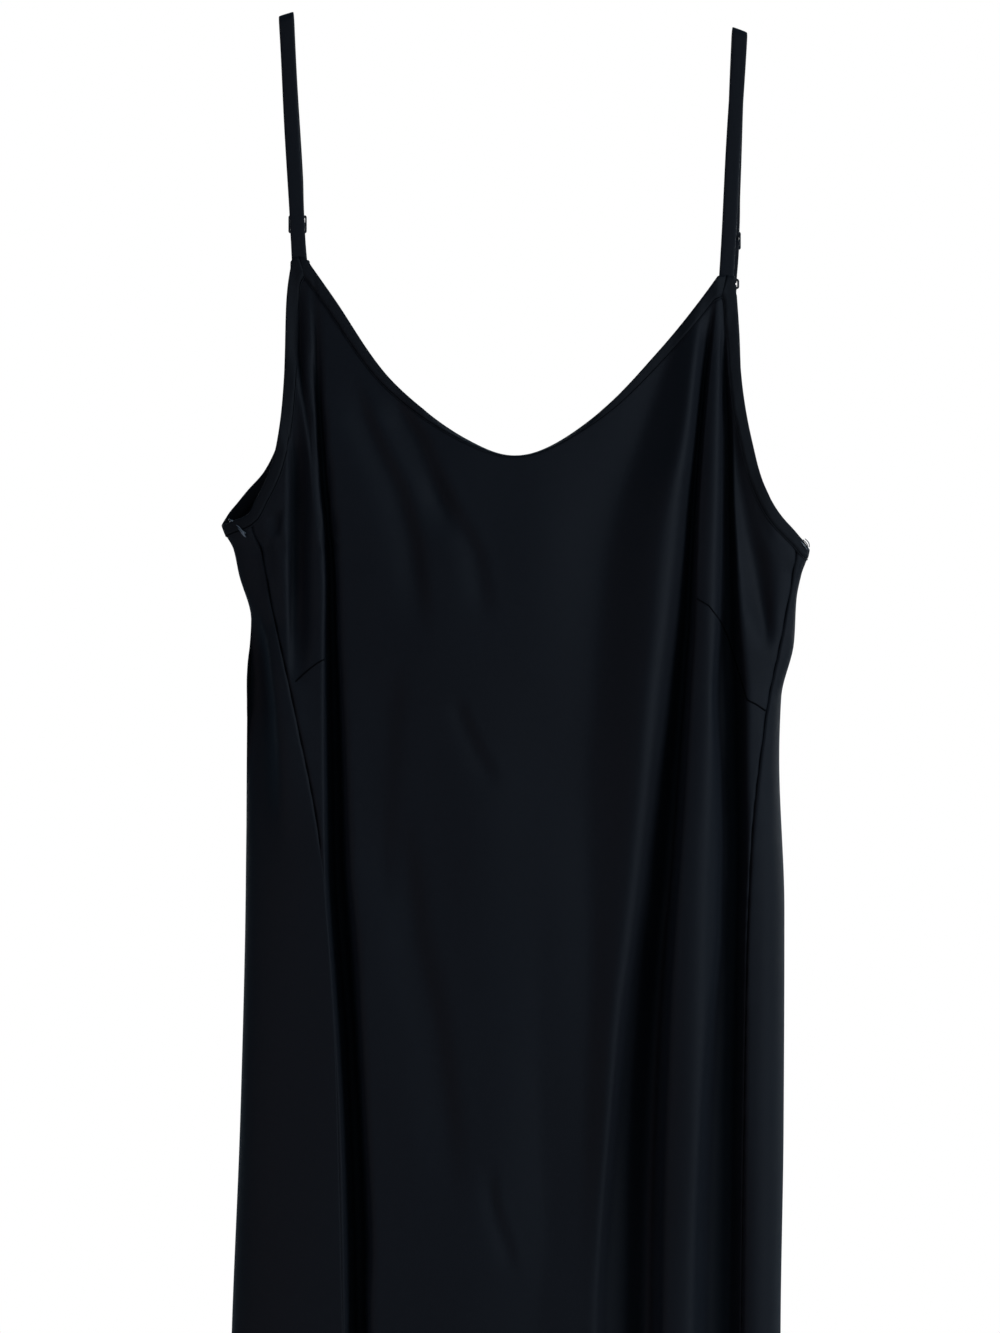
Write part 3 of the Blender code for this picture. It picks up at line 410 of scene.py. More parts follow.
BODY_ROWS = ((HEM_LEVEL, 92), (-620.0, 70), (YOKE_LEVEL, 0))  # level, rows from it up to the next
YOKE_ROWS = 60
EDGE_COLUMNS = (0.22, 0.45, 0.7)  # shares of a panel's last column, where it has three more
SEAM_REACH = 4.0  # stretch of cloth from which the slope at a seam is taken
RING_SAMPLES = 1600
EDGE_SAMPLES = 200
FINE_SAMPLES = 1200
GAP = 0.3  # left between pieces
SEAM_GAP = GAP / 8  # how far a panel stays from its side seam
UNDERARM_RADIUS = 175.0  # turns a length round the underarm into an angle
MIDDLE_X = -20.0  # place of the guide in the middle of the front
FULL_TURN = np.array((2 * math.pi, 0))  # once round the ring, as (angle, level)
HAND = {"left": 1, "right": -1}

# The cloth turns in at its side seams and draws up a little where they are sewn. Above the hem
# it dips at the stitches, and it flares out at its lower edge.
COVER_FADE = 25.0
PUCKER = 0.28
PUCKER_REACH = 5.0
TURN_IN = 1.1
TURN_IN_REACH = 0.9
HEM_DIP = 0.55
HEM_DIP_REACH = 1.2
HEM_FLARE = 0.5
HEM_FLARE_REACH = 9.0

# ---- bindings, straps and hardware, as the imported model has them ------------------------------

BINDING_WIDTH = 7.5
ROLL_WIDTH = 5.4  # the front neck binding rolls back, so this much less of it shows in the middle
ROLL_X = 5.0
ROLL_REACH = 80.0
BINDING_LAP = 0.9  # how far a binding lies over its panel
BINDING_SECTIONS = 260
BINDING_PROUD = 0.35  # how far a binding stands out, and how far its wall's middle lies below that
BINDING_SUNK = 1.0
NARROWEST = 2.2  # a binding's section isn't squeezed below this width
ROLL_TURN = 0.72  # how soon a rolled binding turns over, and how far
ROLL_DEPTH = 1.3

StrapLine = namedtuple("StrapLine", "front_x front_z back_x back_z top_x top_z slant slider_z")
STRAPS = {
    "left": StrapLine(-137.3, -150.4, -137.3, -160.0, -145.9, 5.5, 0.30, -128.0),
    "right": StrapLine(135.3, -162.4, 138.3, -172.0, 144.3, -4.5, 0.38, -138.6),
}
STRAP_CLOTH = 1.2
STRAP_TURN = 5.4
HARDWARE_Y = 8.0
SLIDER_WIDTH = 11.8
SLIDER_HEIGHT = 11.4
SLIDER_BAR = 1.6
SLIDER_SIDE = 1.1
SLIDER_THICKNESS = 1.4
SLIDER_CORNER = 1.4
SLIDER_EDGE = 0.42
RING_Y = 7.0
RING_WIDTH = 12.6
RING_HEIGHT = 6.8
RING_WIRE = 1.4
RING_CORNER = 1.1
RING_LIFT = 5.6
TAB_WIDTH = 9.0
STRAP_CROWN = 0.1
STRAP_RIDGE = 0.62  # the tube's seam shows as a low ridge at this share of the half-width
RIDGE_HEIGHT = 0.16
RIDGE_REACH = 0.1
STRAP_WANDER = 0.18  # the strap isn't quite straight: reach and length of its slow bends
WANDER_LENGTH = 19.0
SLIDER_LEAN = {"left": -0.5, "right": 0.6}  # the slider pulls its strap a little to one side
LEAN_REACH = 22.0
WEAVE_REACH = (SLIDER_THICKNESS + STRAP_CLOTH) / 2 + GAP + 0.1
ROUND_BAR = (RING_WIRE + STRAP_CLOTH) / 2 + GAP + 0.1

# The camera looks along +Y from here, level.
CAMERA_X = -9.0
CAMERA_Z = -412.0
CAMERA_FAR = 2200.0
VIEW_HEIGHT = 853.0  # what it takes in on the plane of the straps


# ---- curves ----------------------------------------------------------------------------------

def eased(at, knots, values):
    """Monotone smooth curve through (knot, value) pairs, held level past both ends."""
    knots = np.asarray(knots, float)
    values = np.asarray(values, float)
    at = np.clip(np.asarray(at, float), knots[0], knots[-1])
    step = np.diff(knots)
    slope = np.diff(values) / step
    same_way = slope[1:] * slope[:-1] > 0
    total = np.where(same_way, slope[1:] + slope[:-1], 1.0)
    inner = np.where(same_way, 2 * slope[1:] * slope[:-1] / total, 0.0)
    tangent = np.concatenate(([slope[0]], inner, [slope[-1]]))
    i = np.clip(np.searchsorted(knots, at) - 1, 0, len(step) - 1)
    t = (at - knots[i]) / step[i]
    return ((1 + 2 * t) * (1 - t) ** 2 * values[i] + t * (1 - t) ** 2 * step[i] * tangent[i]
            + t ** 2 * (3 - 2 * t) * values[i + 1] + t ** 2 * (t - 1) * step[i] * tangent[i + 1])


def by_level(level, table, name):
    """A named column of a table whose first column is the level, at the given levels."""
    return eased(level, [row.level for row in table], [getattr(row, name) for row in table])


def spline(points, count):
    """Evenly spaced points of a smooth curve through the given points."""
    points = np.asarray(points, float)
    ends = np.vstack((2 * points[0] - points[1], points, 2 * points[-1] - points[-2]))
    fine = []
    for a, b, c, d in zip(ends, ends[1:], ends[2:], ends[3:]):
        for t in np.linspace(0, 1, 24, endpoint=False):
            fine.append(0.5 * (2 * b + (c - a) * t + (2 * a - 5 * b + 4 * c - d) * t ** 2
                               + (3 * b - a - 3 * c + d) * t ** 3))
    fine.append(points[-1])
    return even(np.array(fine), count)


def run_of(points):
    """Length along a line of points, at each of them."""
    return np.concatenate(([0], np.cumsum(np.linalg.norm(np.diff(points, axis=0), axis=1))))


def even(points, count):
    """The same open line with count points, evenly spaced along it."""
    run = run_of(points)
    want = np.linspace(0, run[-1], count)
    return np.column_stack([np.interp(want, run, axis) for axis in points.T])


def smooth(t):
    """Soft step from 0 to 1."""
    t = np.clip(t, 0, 1)
    return t * t * (3 - 2 * t)


def hump(off, reach, power=2):
    """Soft hump of height 1 round no offset."""
    return np.exp(-(off / reach) ** power)


def unit(vectors):
    """The same directions with a length of 1."""
    return vectors / np.linalg.norm(vectors, axis=-1, keepdims=True)


# ---- the hanging cloth -----------------------------------------------------------------------

def level_at(x, z):
    """Level of the cloth at a place given by x and z."""
    return z + by_level(z, TILTS, "drop") * x


def ring_angle(x, level, back=False):
    """Angle round the ring where the front, or the back, of the cloth is at x."""
    left = by_level(level, SECTIONS, "left")
    right = by_level(level, SECTIONS, "right")
    angle = np.arcsin(np.clip((x - (right - left) / 2) / ((right + left) / 2), -1, 1))
    return math.pi - angle if back else angle


def fold_shape(share, edge):
    """Depth of a fold at a share of its half-width, as a share of its full depth."""
    return np.exp(-LN2 * np.clip(np.abs(share), 0, FOLD_END) ** edge)


def begun(level):
    """How much of the folds is there: none at the strap points, and all a little lower."""
    return smooth((FADE_LEVEL - level) / FADE_LENGTH)


def pressed_front(x, z):
    """How far the front's folds press the cloth in, at a place as seen from the front."""
    total = np.zeros(np.shape(x))
    for fold in FRONT_FOLDS:
        knots, place, left, right, depth = np.array(fold.rows[::-1], float).T
        off = x - eased(z, knots, place)
        on_left = off < 0
        half = np.where(on_left, eased(z, knots, left), eased(z, knots, right))
        edge = np.where(on_left, fold.left_edge, fold.right_edge)
        total += eased(z, knots, depth) * fold_shape(off / half, edge)
    return total


def pressed_back(x, level):
    """How far the back's folds press the cloth in."""
    total = np.zeros(np.shape(x))
    for fold in BACK_FOLDS:
        rows = (fold.place, fold.half, fold.depth)
        place, half, depth = (eased(level, FIVE_LEVELS, row) for row in rows)
        total += depth * fold_shape((x - place) / half, fold.edge)
    return begun(level) * total


def creased(creases, x, z):
    """How far soft creases press the cloth in at (x, z)."""
    total = np.zeros(np.shape(x))
    for crease in creases:
        line = even(np.array(crease.points, float), CREASE_POINTS)
        nearest = np.full(np.shape(x), 1e9)
        signed = np.zeros(np.shape(x))
        along = np.zeros(np.shape(x))
        for i, (a, b) in enumerate(zip(line, line[1:])):
            way = b - a
            share = np.clip(((x - a[0]) * way[0] + (z - a[1]) * way[1]) / (way @ way), 0, 1)
            dx = x - a[0] - share * way[0]
            dz = z - a[1] - share * way[1]
            far = np.hypot(dx, dz)
            side = np.sign(dz * way[0] - dx * way[1])
            closer = far < nearest
            nearest = np.where(closer, far, nearest)
            signed = np.where(closer, side * far, signed)
            along = np.where(closer, (i + share) / (len(line) - 1), along)
        fade = smooth(along / CREASE_START) * smooth((1 - along) / CREASE_END)
        t = signed / (crease.half * np.where(signed < 0, EASY_SIDE, 1.0))
        raised = crease.lip * np.exp(-LN2 * (t - LIP_PLACE) ** 2)
        total += fade * (crease.depth * np.exp(-LN2 * t ** 2) - raised)
    return total


def uneven(x, z, back):
    """Slow small unevenness of hanging cloth: three waves, at the back out of step with the front's."""
    turn = 2.1 if back else 0.0
    return (0.45 * np.sin(x / 17 + 0.9 * np.sin(z / 83 + turn) + turn)
            + 0.35 * np.sin(x / 9.1 - z / 210 + 1.3 + turn) * np.sin(z / 61 + 0.4)
            + 0.22 * np.sin(x / 23 + z / 37 + 2.2 * turn))


def cloth_point(angle, level, folded=True):
    """Points of the cloth's outer face, as an array that ends in x, y and z."""
    angle, level = np.broadcast_arrays(np.asarray(angle, float), np.asarray(level, float))
    left = by_level(level, SECTIONS, "left")
    right = by_level(level, SECTIONS, "right")
    square = by_level(level, SECTIONS, "square")
    is_front = np.cos(angle) > 0
    side = np.sin(angle)
    bulge = np.clip(1 - np.abs(side) ** square, 0, 1) ** (1 / square)
    x = (right - left) / 2 + side * (right + left) / 2
    z = level - by_level(level, TILTS, "drop") * x
    front, back = by_level(level, SECTIONS, "front"), by_level(level, SECTIONS, "back")
    out = bulge * np.where(is_front, front, back)
    if folded:
        near = 1 + out / CAMERA_FAR
        seen_x = CAMERA_X + (x - CAMERA_X) * near
        seen_z = CAMERA_Z + (z - CAMERA_Z) * near
        front = pressed_front(seen_x, seen_z) + creased(FRONT_CREASES, seen_x, seen_z)
        back = pressed_back(x, level) + creased(BACK_CREASES, x, z)
        sway = np.where(is_front, uneven(x, z, False), uneven(x, z, True)) * begun(level)
        out = out - (np.where(is_front, front, back) + sway) * np.sqrt(bulge)
    y = np.where(is_front, -out, out)
    return np.stack((x, y, z), axis=-1)


def slopes(angle, level, turn, rise, folded):
    """How the cloth's points change from a small turn before to one after, and over a small rise."""
    around = cloth_point(angle + turn, level, folded) - cloth_point(angle - turn, level, folded)
    up = cloth_point(angle, level + rise, folded) - cloth_point(angle, level - rise, folded)
    return around, up


def cloth_normal(angle, level, folded=True):
    """Unit normals of the cloth, pointing out of the dress."""
    return unit(np.cross(*slopes(angle, level, 0.003, 1.5, folded)))


def seam_angle(level, side):
    """Angle of a side seam; both seams lie on the front."""
    return ring_angle(by_level(level, SEAMS, side), level)


def front_angle(x, z):
    """Angle and level of the front's cloth that is seen at (x, z) from the front."""
    real_x, real_z = x, z
    for _ in range(6):
        level = level_at(real_x, real_z)
        angle = ring_angle(real_x, level)
        near = 1 - float(cloth_point(angle, level)[1]) / CAMERA_FAR
        real_x = CAMERA_X + (x - CAMERA_X) / near
        real_z = CAMERA_Z + (z - CAMERA_Z) / near
    return float(angle), float(level)


def spread(level, guides, counts):
    """Angles from the first guide to the last, evenly spaced along the cloth between guides."""
    fine = np.linspace(guides[0] - 0.02, guides[-1] + 0.02, RING_SAMPLES)
    run = run_of(cloth_point(fine, level))
    marks = np.interp(guides, fine, run)
    marks[0] += SEAM_GAP
    marks[-1] -= SEAM_GAP
    steps = [np.linspace(a, b, n, endpoint=False) for a, b, n in zip(marks, marks[1:], counts)]
    return np.interp(np.concatenate(steps + [marks[-1:]]), run, fine)


def guide_angle(line, level):
    """Angle where a guide line crosses a level, counted on round the ring from the front."""
    plain = {
        "left seam": seam_angle(level, "left"),
        "right seam": seam_angle(level, "right"),
        "middle": ring_angle(MIDDLE_X, level),
        "right side": math.pi / 2,
        "left side": 1.5 * math.pi,
    }
    if line in plain:
        return plain[line]
    if line in GUIDE_LINES:
        return ring_angle(eased(level, FIVE_LEVELS, GUIDE_LINES[line]), level)
    fold = next(f for f in BACK_FOLDS if f.name == line)
    return ring_angle(eased(level, FIVE_LEVELS, fold.place), level, back=True)


def panel_row(guides, level):
    """Angles of a panel's columns at a level."""
    angles = np.array([guide_angle(guide.line, level) for guide in guides], float)
    if angles[-1] < angles[0]:
        angles[-1] += 2 * math.pi
    return spread(level, angles, [guide.columns for guide in guides[:-1]])


# ---- finished edges --------------------------------------------------------------------------

def on_ring(points, back=False):
    """Angles and levels of (x, z) points of the front or the back."""
    points = np.asarray(points, float)
    level = level_at(points[:, 0], points[:, 1])
    return np.column_stack((ring_angle(points[:, 0], level, back), level))


def length_on_cloth(line):
    """Length along an (angle, level) line, as it lies on the cloth, at each of its points."""
    return run_of(cloth_point(line[:, 0], line[:, 1], folded=False))


def picked(line, at, wanted):
    """The line's points where a count along it, given at each point, has the wanted values."""
    return np.column_stack((np.interp(wanted, at, line[:, 0]), np.interp(wanted, at, line[:, 1])))


def evened(line, count):
    """The same (angle, level) line with count points, evenly spaced on the cloth."""
    run = length_on_cloth(line)
    return picked(line, run, np.linspace(0, run[-1], count))


def spline_on_cloth(marks, count):
    """A smooth line through (angle, level) marks, evenly spaced as it lies on the cloth."""
    scale = np.array([120.0, 1.0])  # makes an angle about as long as its stretch of cloth
    return evened(spline(marks * scale, 40 * len(marks)) / scale, count)


def armhole_edge(side, count):
    """Finished edge of an armhole as (angle, level), from the front strap round to the back one."""
    turn = math.pi / 2 if side == "right" else -math.pi / 2
    if side == "right":
        front = on_ring(RIGHT_ARMHOLE_FRONT)
        back = on_ring(RIGHT_ARMHOLE_BACK, back=True)
        reach = by_level(UNDERARM_TIP[side], SECTIONS, "right")
    else:
        front = on_ring(LEFT_ARMHOLE_FRONT)
        back = on_ring(LEFT_ARMHOLE_BACK, back=True) - FULL_TURN
        reach = -by_level(UNDERARM_TIP[side], SECTIONS, "left")
    tip = np.array([[turn, level_at(reach, UNDERARM_TIP[side])]])
    return spline_on_cloth(np.vstack((front, tip, back)), count)


def moved_in(line, width):
    """The (angle, level) line moved across the cloth by width, to the left of its own way."""
    steps = 6
    width = width * np.ones(len(line))
    for _ in range(steps):
        angle, level = line.T
        along = unit(np.gradient(cloth_point(angle, level, folded=False), axis=0))
        across = np.cross(cloth_normal(angle, level, folded=False), along)
        turned, raised = slopes(angle, level, 0.002, 1, False)
        moved = []
        for place, far, way, by_angle, by_rise in zip(line, width, across, turned / 0.004, raised / 2):
            share = np.linalg.lstsq(np.column_stack((by_angle, by_rise)), way, rcond=None)[0]
            moved.append(place + far / steps * share)
        line = np.array(moved)
    return line


def apex(name):
    """Where two bindings meet below a strap, as (angle, level)."""
    return on_ring([APEX[name]], back=name.startswith("back"))[0]


def strap_foot(side, back=False, towards=0.0):
    """Middle of a strap point's upper end, as (angle, level)."""
    strap = STRAPS[side]
    x, z = (strap.back_x, strap.back_z) if back else (strap.front_x, strap.front_z)
    return on_ring([(x + towards, z)], back)[0]


def share_at(line, axis, value):
    """Share of a line's length at which its x (axis 0) or z (axis 2) first passes a value.

    The value "side" stands for the side of the ring, a quarter turn from the front."""
    fine = evened(line, FINE_SAMPLES)
    if value == "side":
        past = np.abs(fine[:, 0]) - math.pi / 2
    else:
        past = cloth_point(fine[:, 0], fine[:, 1], folded=False)[:, axis] - value
    return float(np.argmax(np.sign(past) != np.sign(past[0]))) / (FINE_SAMPLES - 1)


def matched(line, pattern):
    """The line with as many points as the pattern, at the same shares of its length."""
    share = length_on_cloth(pattern)
    share = share / share[-1]
    fine = evened(line, FINE_SAMPLES)
    if np.ptp(np.sign(np.cos(line[:, 0]))) > 0:
        sides = [share_at(each, 0, "side") for each in (pattern, line)]
        share = np.interp(share, (0, sides[0], 1), (0, sides[1], 1))
    return picked(fine, np.linspace(0, 1, FINE_SAMPLES), share)


def between(first, line, last):
    """A line moved in from a finished edge, cut short at both ends and led to first and last."""
    clear = 3.0
    middle = len(line) // 2
    kept = [p for p in line[:middle] if p[1] < first[1] - clear]
    kept += [p for p in line[middle:] if p[1] < last[1] - clear]
    return np.vstack((first, kept, last))


def marked(line, marks, columns):
    """The line through its marked places, with evenly spaced points between each two of them."""
    fine = evened(line, FINE_SAMPLES)
    places = [round(mark * (FINE_SAMPLES - 1)) for mark in marks]
    parts = [evened(fine[i:j + 1], count + 1)[:-1] for i, j, count in zip(places, places[1:], columns)]
    return np.vstack(parts + [fine[-1:]])


def top_marks(line, guides, axis):
    """Shares of a seam line where the guides that end on it do, with both of its ends."""
    return [0.0] + [share_at(line, axis, guide.top) for guide in guides[1:-1]] + [1.0]


def neck_edge(back):
    """Finished edge of the front or back neck as (angle, level), from -X to +X."""
    return spline_on_cloth(on_ring(BACK_NECK if back else FRONT_NECK, back), EDGE_SAMPLES)


def neck_seam(back):
    """Line where the neck binding meets its panel, from -X to +X, one point for each column."""
    edge = neck_edge(back)
    shown = np.full(len(edge), BINDING_WIDTH)
    if not back:
        x = cloth_point(*edge.T)[:, 0]
        shown -= ROLL_WIDTH * hump(x - ROLL_X, ROLL_REACH)
    part = "back" if back else "front"
    line = moved_in(edge, shown if back else -shown)
    line = between(apex(part + " left"), line, apex(part + " right"))
    guides = BACK_GUIDES if back else FRONT_GUIDES
    first, last = [i for i, guide in enumerate(guides) if guide.top == "apex"]
    columns = [guide.columns for guide in guides[first:last]]
    guides = guides[first:last + 1]
    if back:
        guides = guides[::-1]
        columns = columns[::-1]
    return marked(line, top_marks(line, guides, 0), columns)


def turned_back(side):
    """A left armhole's line runs back past the left side, a full turn short of the back's angles."""
    return FULL_TURN if side == "left" else np.zeros(2)


def armhole_seam(side):
    """Line where an armhole's binding meets the front, and the line where it meets the back."""
    hand = HAND[side]
    line = moved_in(armhole_edge(side, EDGE_SAMPLES), hand * BINDING_WIDTH)
    line = between(apex("front " + side), line, apex("back " + side) - turned_back(side))
    past = -hand * np.array([angle - seam_angle(level, side) for angle, level in line])
    i = int(np.argmax(past > 0))
    share = past[i - 1] / (past[i - 1] - past[i])
    crossing = line[i - 1] + share * (line[i] - line[i - 1])
    away = np.array((-hand * SEAM_GAP / UNDERARM_RADIUS, 0))
    front = np.vstack((line[:i], crossing - away))
    back = np.vstack((crossing + away, line[i:]))
    front_guides, back_guides = FRONT_GUIDES[5:], BACK_GUIDES[:4]
    front_columns = [guide.columns for guide in front_guides[:-1]]
    back_columns = [guide.columns for guide in back_guides[:-1]]
    if side == "left":
        front_guides, back_guides = FRONT_GUIDES[1::-1], BACK_GUIDES[:5:-1]
        front_columns = [guide.columns for guide in front_guides[1:]]
        back_columns = [guide.columns for guide in back_guides[1:]]
    return (marked(front, top_marks(front, front_guides, 2), front_columns),
            marked(back, top_marks(back, back_guides, 2), back_columns))


def pulled(line, first, last):
    """The line with its two ends moved along x, so that pieces stay a gap apart at a mitre."""
    line = line.copy()
    for end, far in ((0, first), (-1, last)):
        x, _, z = cloth_point(*line[end], folded=False)
        turned = on_ring([(x + far, z)], math.cos(line[end, 0]) < 0)[0]
        turned[0] += 2 * math.pi * round((line[end, 0] - turned[0]) / (2 * math.pi))
        line[end] = turned
    return line


def neck_binding_lines(back):
    """Outer and inner line of a neck binding, from -X to +X."""
    inner = pulled(moved_in(neck_seam(back), BINDING_LAP if back else -BINDING_LAP), GAP, -GAP)
    feet = strap_foot("left", back, GAP), strap_foot("right", back, -GAP)
    inner = evened(inner, BINDING_SECTIONS)
    return matched(np.vstack((feet[0], neck_edge(back), feet[1])), inner), inner


def armhole_binding_lines(side):
    """Outer and inner line of an armhole binding, from the front strap round to the back one."""
    hand = HAND[side]
    front, back = armhole_seam(side)
    seam = (front[-1:] + back[:1]) / 2
    inner = moved_in(np.vstack((front[:-1], seam, back[1:])), hand * BINDING_LAP)
    inner = evened(pulled(inner, -hand * GAP, -hand * GAP), BINDING_SECTIONS)
    foot = strap_foot(side, False, -hand * GAP)
    back_foot = strap_foot(side, True, -hand * GAP) - turned_back(side)
    return matched(np.vstack((foot, armhole_edge(side, EDGE_SAMPLES), back_foot)), inner), inner


# ---- meshes ----------------------------------------------------------------------------------

def in_scene(name, data):
    """A new object of the scene."""
    item = bpy.data.objects.new(name, data)
    bpy.context.scene.collection.objects.link(item)
    return item


def put_in_place(name, work, material, node_names, sharp=None):
    """Makes a bmesh in millimetres into a piece of the dress that replaces its nodes."""
    bmesh.ops.scale(work, vec=(MM, MM, MM), verts=work.verts)
    mesh = bpy.data.meshes.new(name)
    work.to_mesh(mesh)
    work.free()
    mesh.shade_smooth()
    if sharp:
        mesh.set_sharp_from_angle(angle=math.radians(sharp))
    piece = in_scene(name, mesh)
    mesh.materials.append(material)
    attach(piece, "root")
    if node_names:
        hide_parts(*node_names)
    return piece


def tube_piece(name, rings, material, node_names):
    """A closed tube through rings of points, as a piece of the dress."""
    return put_in_place(name, closed_work(rings, tube_weave(rings)), material, node_names)


def grid_work(points, weave):
    """A bmesh grid bent through rows of points, with the cloth's own measure as its UV map."""
    rows, columns = points.shape[0] - 1, points.shape[1] - 1
    work = bmesh.new()
    layer = work.loops.layers.uv.new("cloth")
    bmesh.ops.create_grid(work, x_segments=columns, y_segments=rows, size=1.0)
    at = [(round((v.co.y + 1) / 2 * rows), round((v.co.x + 1) / 2 * columns)) for v in work.verts]
    for vert in work.verts:
        vert.co = Vector(points[at[vert.index]])
    for face in work.faces:
        for loop in face.loops:
            loop[layer].uv = weave[at[loop.vert.index]]
    return work


def closed_work(rings, weave):
    """A bmesh tube through closed rings of points, capped at both ends."""
    rings = np.concatenate((rings, rings[:, :1]), axis=1)
    work = grid_work(rings, weave)
    bmesh.ops.remove_doubles(work, verts=work.verts, dist=1e-4)
    bmesh.ops.holes_fill(work, edges=[e for e in work.edges if e.is_boundary], sides=0)
    bmesh.ops.recalc_face_normals(work, faces=work.faces)
    return work


def tube_weave(rings):
    """UV of a tube's rings: across its wall and along its middle line, in metres."""
    middle = rings.mean(axis=1)
    along = run_of(middle)
    count = rings.shape[1]
    around = run_of(np.concatenate((rings[len(rings) // 2], rings[len(rings) // 2][:1])))
    return np.stack(np.broadcast_arrays(around[None, :count + 1], along[:, None]), axis=-1) * MM


def body_levels():
    """Levels of a panel's rows from the hem up to the yoke."""
    levels = []
    for (start, rows), (end, _) in zip(BODY_ROWS, BODY_ROWS[1:]):
        levels += list(np.linspace(start, end, rows, endpoint=False))
    return levels + [YOKE_LEVEL]


def grid_normals(grid, face):
    """Unit normals of a panel's grid, the same for two panels where they meet at a seam."""
    along = np.zeros_like(face)
    along[:, 1:-1] = face[:, 2:] - face[:, :-2]
    small = 0.001
    for edge in (0, -1):
        angle, level = grid[:, edge, 0], grid[:, edge, 1]
        turned = cloth_point(angle + small, level) - cloth_point(angle - small, level)
        step = SEAM_REACH * (2 * small) / np.linalg.norm(turned, axis=1)
        along[:, edge] = cloth_point(angle + step, level) - cloth_point(angle - step, level)
    return unit(np.cross(along, np.gradient(face, axis=0)))


def with_edge_columns(grid):
    """The grid with three more columns close to each of its side edges."""
    shares = np.array(EDGE_COLUMNS)[None, :, None]
    first = grid[:, :1] + shares * (grid[:, 1:2] - grid[:, :1])
    last = grid[:, -2:-1] + (1 - shares[:, ::-1]) * (grid[:, -1:] - grid[:, -2:-1])
    return np.concatenate((grid[:, :1], first, grid[:, 1:-1], last, grid[:, -1:]), axis=1)


def panel_form(guides, top):
    """Points of a panel's face and its weave UV, from its hem up to the line of its top."""
    levels = body_levels()
    angles = [panel_row(guides, level) for level in levels]
    grid = [np.column_stack((row, np.full(len(row), level))) for row, level in zip(angles, levels)]
    for share in np.linspace(0, 1, YOKE_ROWS + 1)[1:]:
        grid.append((1 - share) * grid[len(levels) - 1] + share * top)
    grid = with_edge_columns(np.array(grid))
    face = cloth_point(grid[..., 0], grid[..., 1])
    normal = grid_normals(grid, face)
    across = np.cumsum(np.linalg.norm(np.diff(face, axis=1, prepend=face[:, :1]), axis=-1), axis=1)
    from_edge = np.minimum(across, across[:, -1:] - across)
    level = grid[..., 1]
    covered = smooth((SEAM_COVERED + COVER_FADE - level) / COVER_FADE) * (face[..., 0] < 0)
    pucker = PUCKER * np.sin(level / 2.9 + 1.7 * np.sin(level / 13)) * hump(from_edge, PUCKER_REACH)
    pucker = pucker * (1 - covered)
    turn_in = TURN_IN * hump(from_edge, TURN_IN_REACH) * (1 - 0.9 * covered)
    hem = HEM_DIP * hump(level - HEM_LEVEL - sizes().hem_height / MM, HEM_DIP_REACH)
    flare = HEM_FLARE * hump(level - HEM_LEVEL, HEM_FLARE_REACH)
    face = face + (pucker - turn_in - hem + flare)[..., None] * normal
    middle = across[:, across.shape[1] // 2][:, None]
    return face, np.stack((across - middle, level), axis=-1) * MM


def make_panel(name, guides, top, material):
    """A panel of crepe on its solid's form, with a thin wall."""
    face, weave = panel_form(guides, top)
    piece = put_in_place(name + "_cloth", grid_work(face, weave), material, [name])
    wall = piece.modifiers.new("wall", "SOLIDIFY")
    wall.thickness = sizes().cloth_thickness
    wall.offset = -1.0
    wall.use_quality_normals = True
    return piece


# Outline of a binding's wall: share of the way from its inner to its finished edge, a distance
# past that share, and how far it stands out of the panel.
BINDING_SECTION = (
    (0.0, 0.0, -0.25),
    (0.0, 0.05, 0.35),
    (0.0, 0.45, 0.66),
    (0.0, 0.80, 0.62),
    (0.0, 1.00, 0.02),
    (0.0, 1.40, 0.02),
    (0.0, 1.62, 0.60),
    (0.25, 1.2, 0.68),
    (0.6, 0.4, 0.68),
    (0.86, 0.0, 0.62),
    (1.0, -0.35, 0.40),
    (1.0, 0.0, -0.35),
    (1.0, -0.25, -1.10),
    (0.86, 0.0, -1.45),
    (0.4, 0.0, -1.50),
    (0.0, 0.5, -1.45),
    (0.0, 0.05, -1.0),
)
STITCH_DIP = (4, 5)  # the outline's points on both sides of the stitches, in the middle, and inside
INSIDE_POINT = 14


def binding_rings(outer_line, inner_line, rolled):
    """Closed sections of a binding, from end to end of its two lines."""
    both = (inner_line, outer_line)
    face = np.array([cloth_point(line[:, 0], line[:, 1]) for line in both])
    normal = np.array([cloth_normal(line[:, 0], line[:, 1], folded=False) for line in both])
    shown = np.linalg.norm(face[1] - face[0], axis=1)
    hidden = np.zeros(len(shown))
    if rolled:
        hidden = np.sqrt(np.clip(BINDING_WIDTH ** 2 - shown ** 2, 0, None))
    across = (face[1] - face[0]) / shown[:, None]
    run = run_of(face[0])
    rings = []
    for share, past, stand in BINDING_SECTION:
        past_share = past / np.maximum(shown, NARROWEST)
        way = np.clip(share + past_share, 0, 1)[:, None]
        if share == 1.0:
            way = 1 + past_share[:, None]
        point = face[0] + way * across * shown[:, None]
        facing = (1 - way) * normal[0] + way * normal[1]
        # A rolled binding turns over towards the inside of the neck.
        point = point - (hidden[:, None] * smooth(way * ROLL_TURN) * ROLL_DEPTH) * facing
        ripple = 0.12 * np.sin(run / 2.3) * math.exp(-(past - 1.15) ** 2) if share == 0 else 0 * run
        rings.append(point + (stand + ripple)[:, None] * facing)
    return np.stack(rings, axis=1)


def make_binding(name, lines, rolled, material):
    """A binding round one finished edge."""
    rings = binding_rings(*lines, rolled)
    piece = tube_piece(name + "_tape", rings, material, [name])
    return piece


# ---- straps and their hardware ---------------------------------------------------------------

def cloth_y(side, back):
    """Middle of the binding's wall at a strap point."""
    out = abs(cloth_point(*strap_foot(side, back), folded=False)[1]) + BINDING_PROUD - BINDING_SUNK
    return out if back else -out


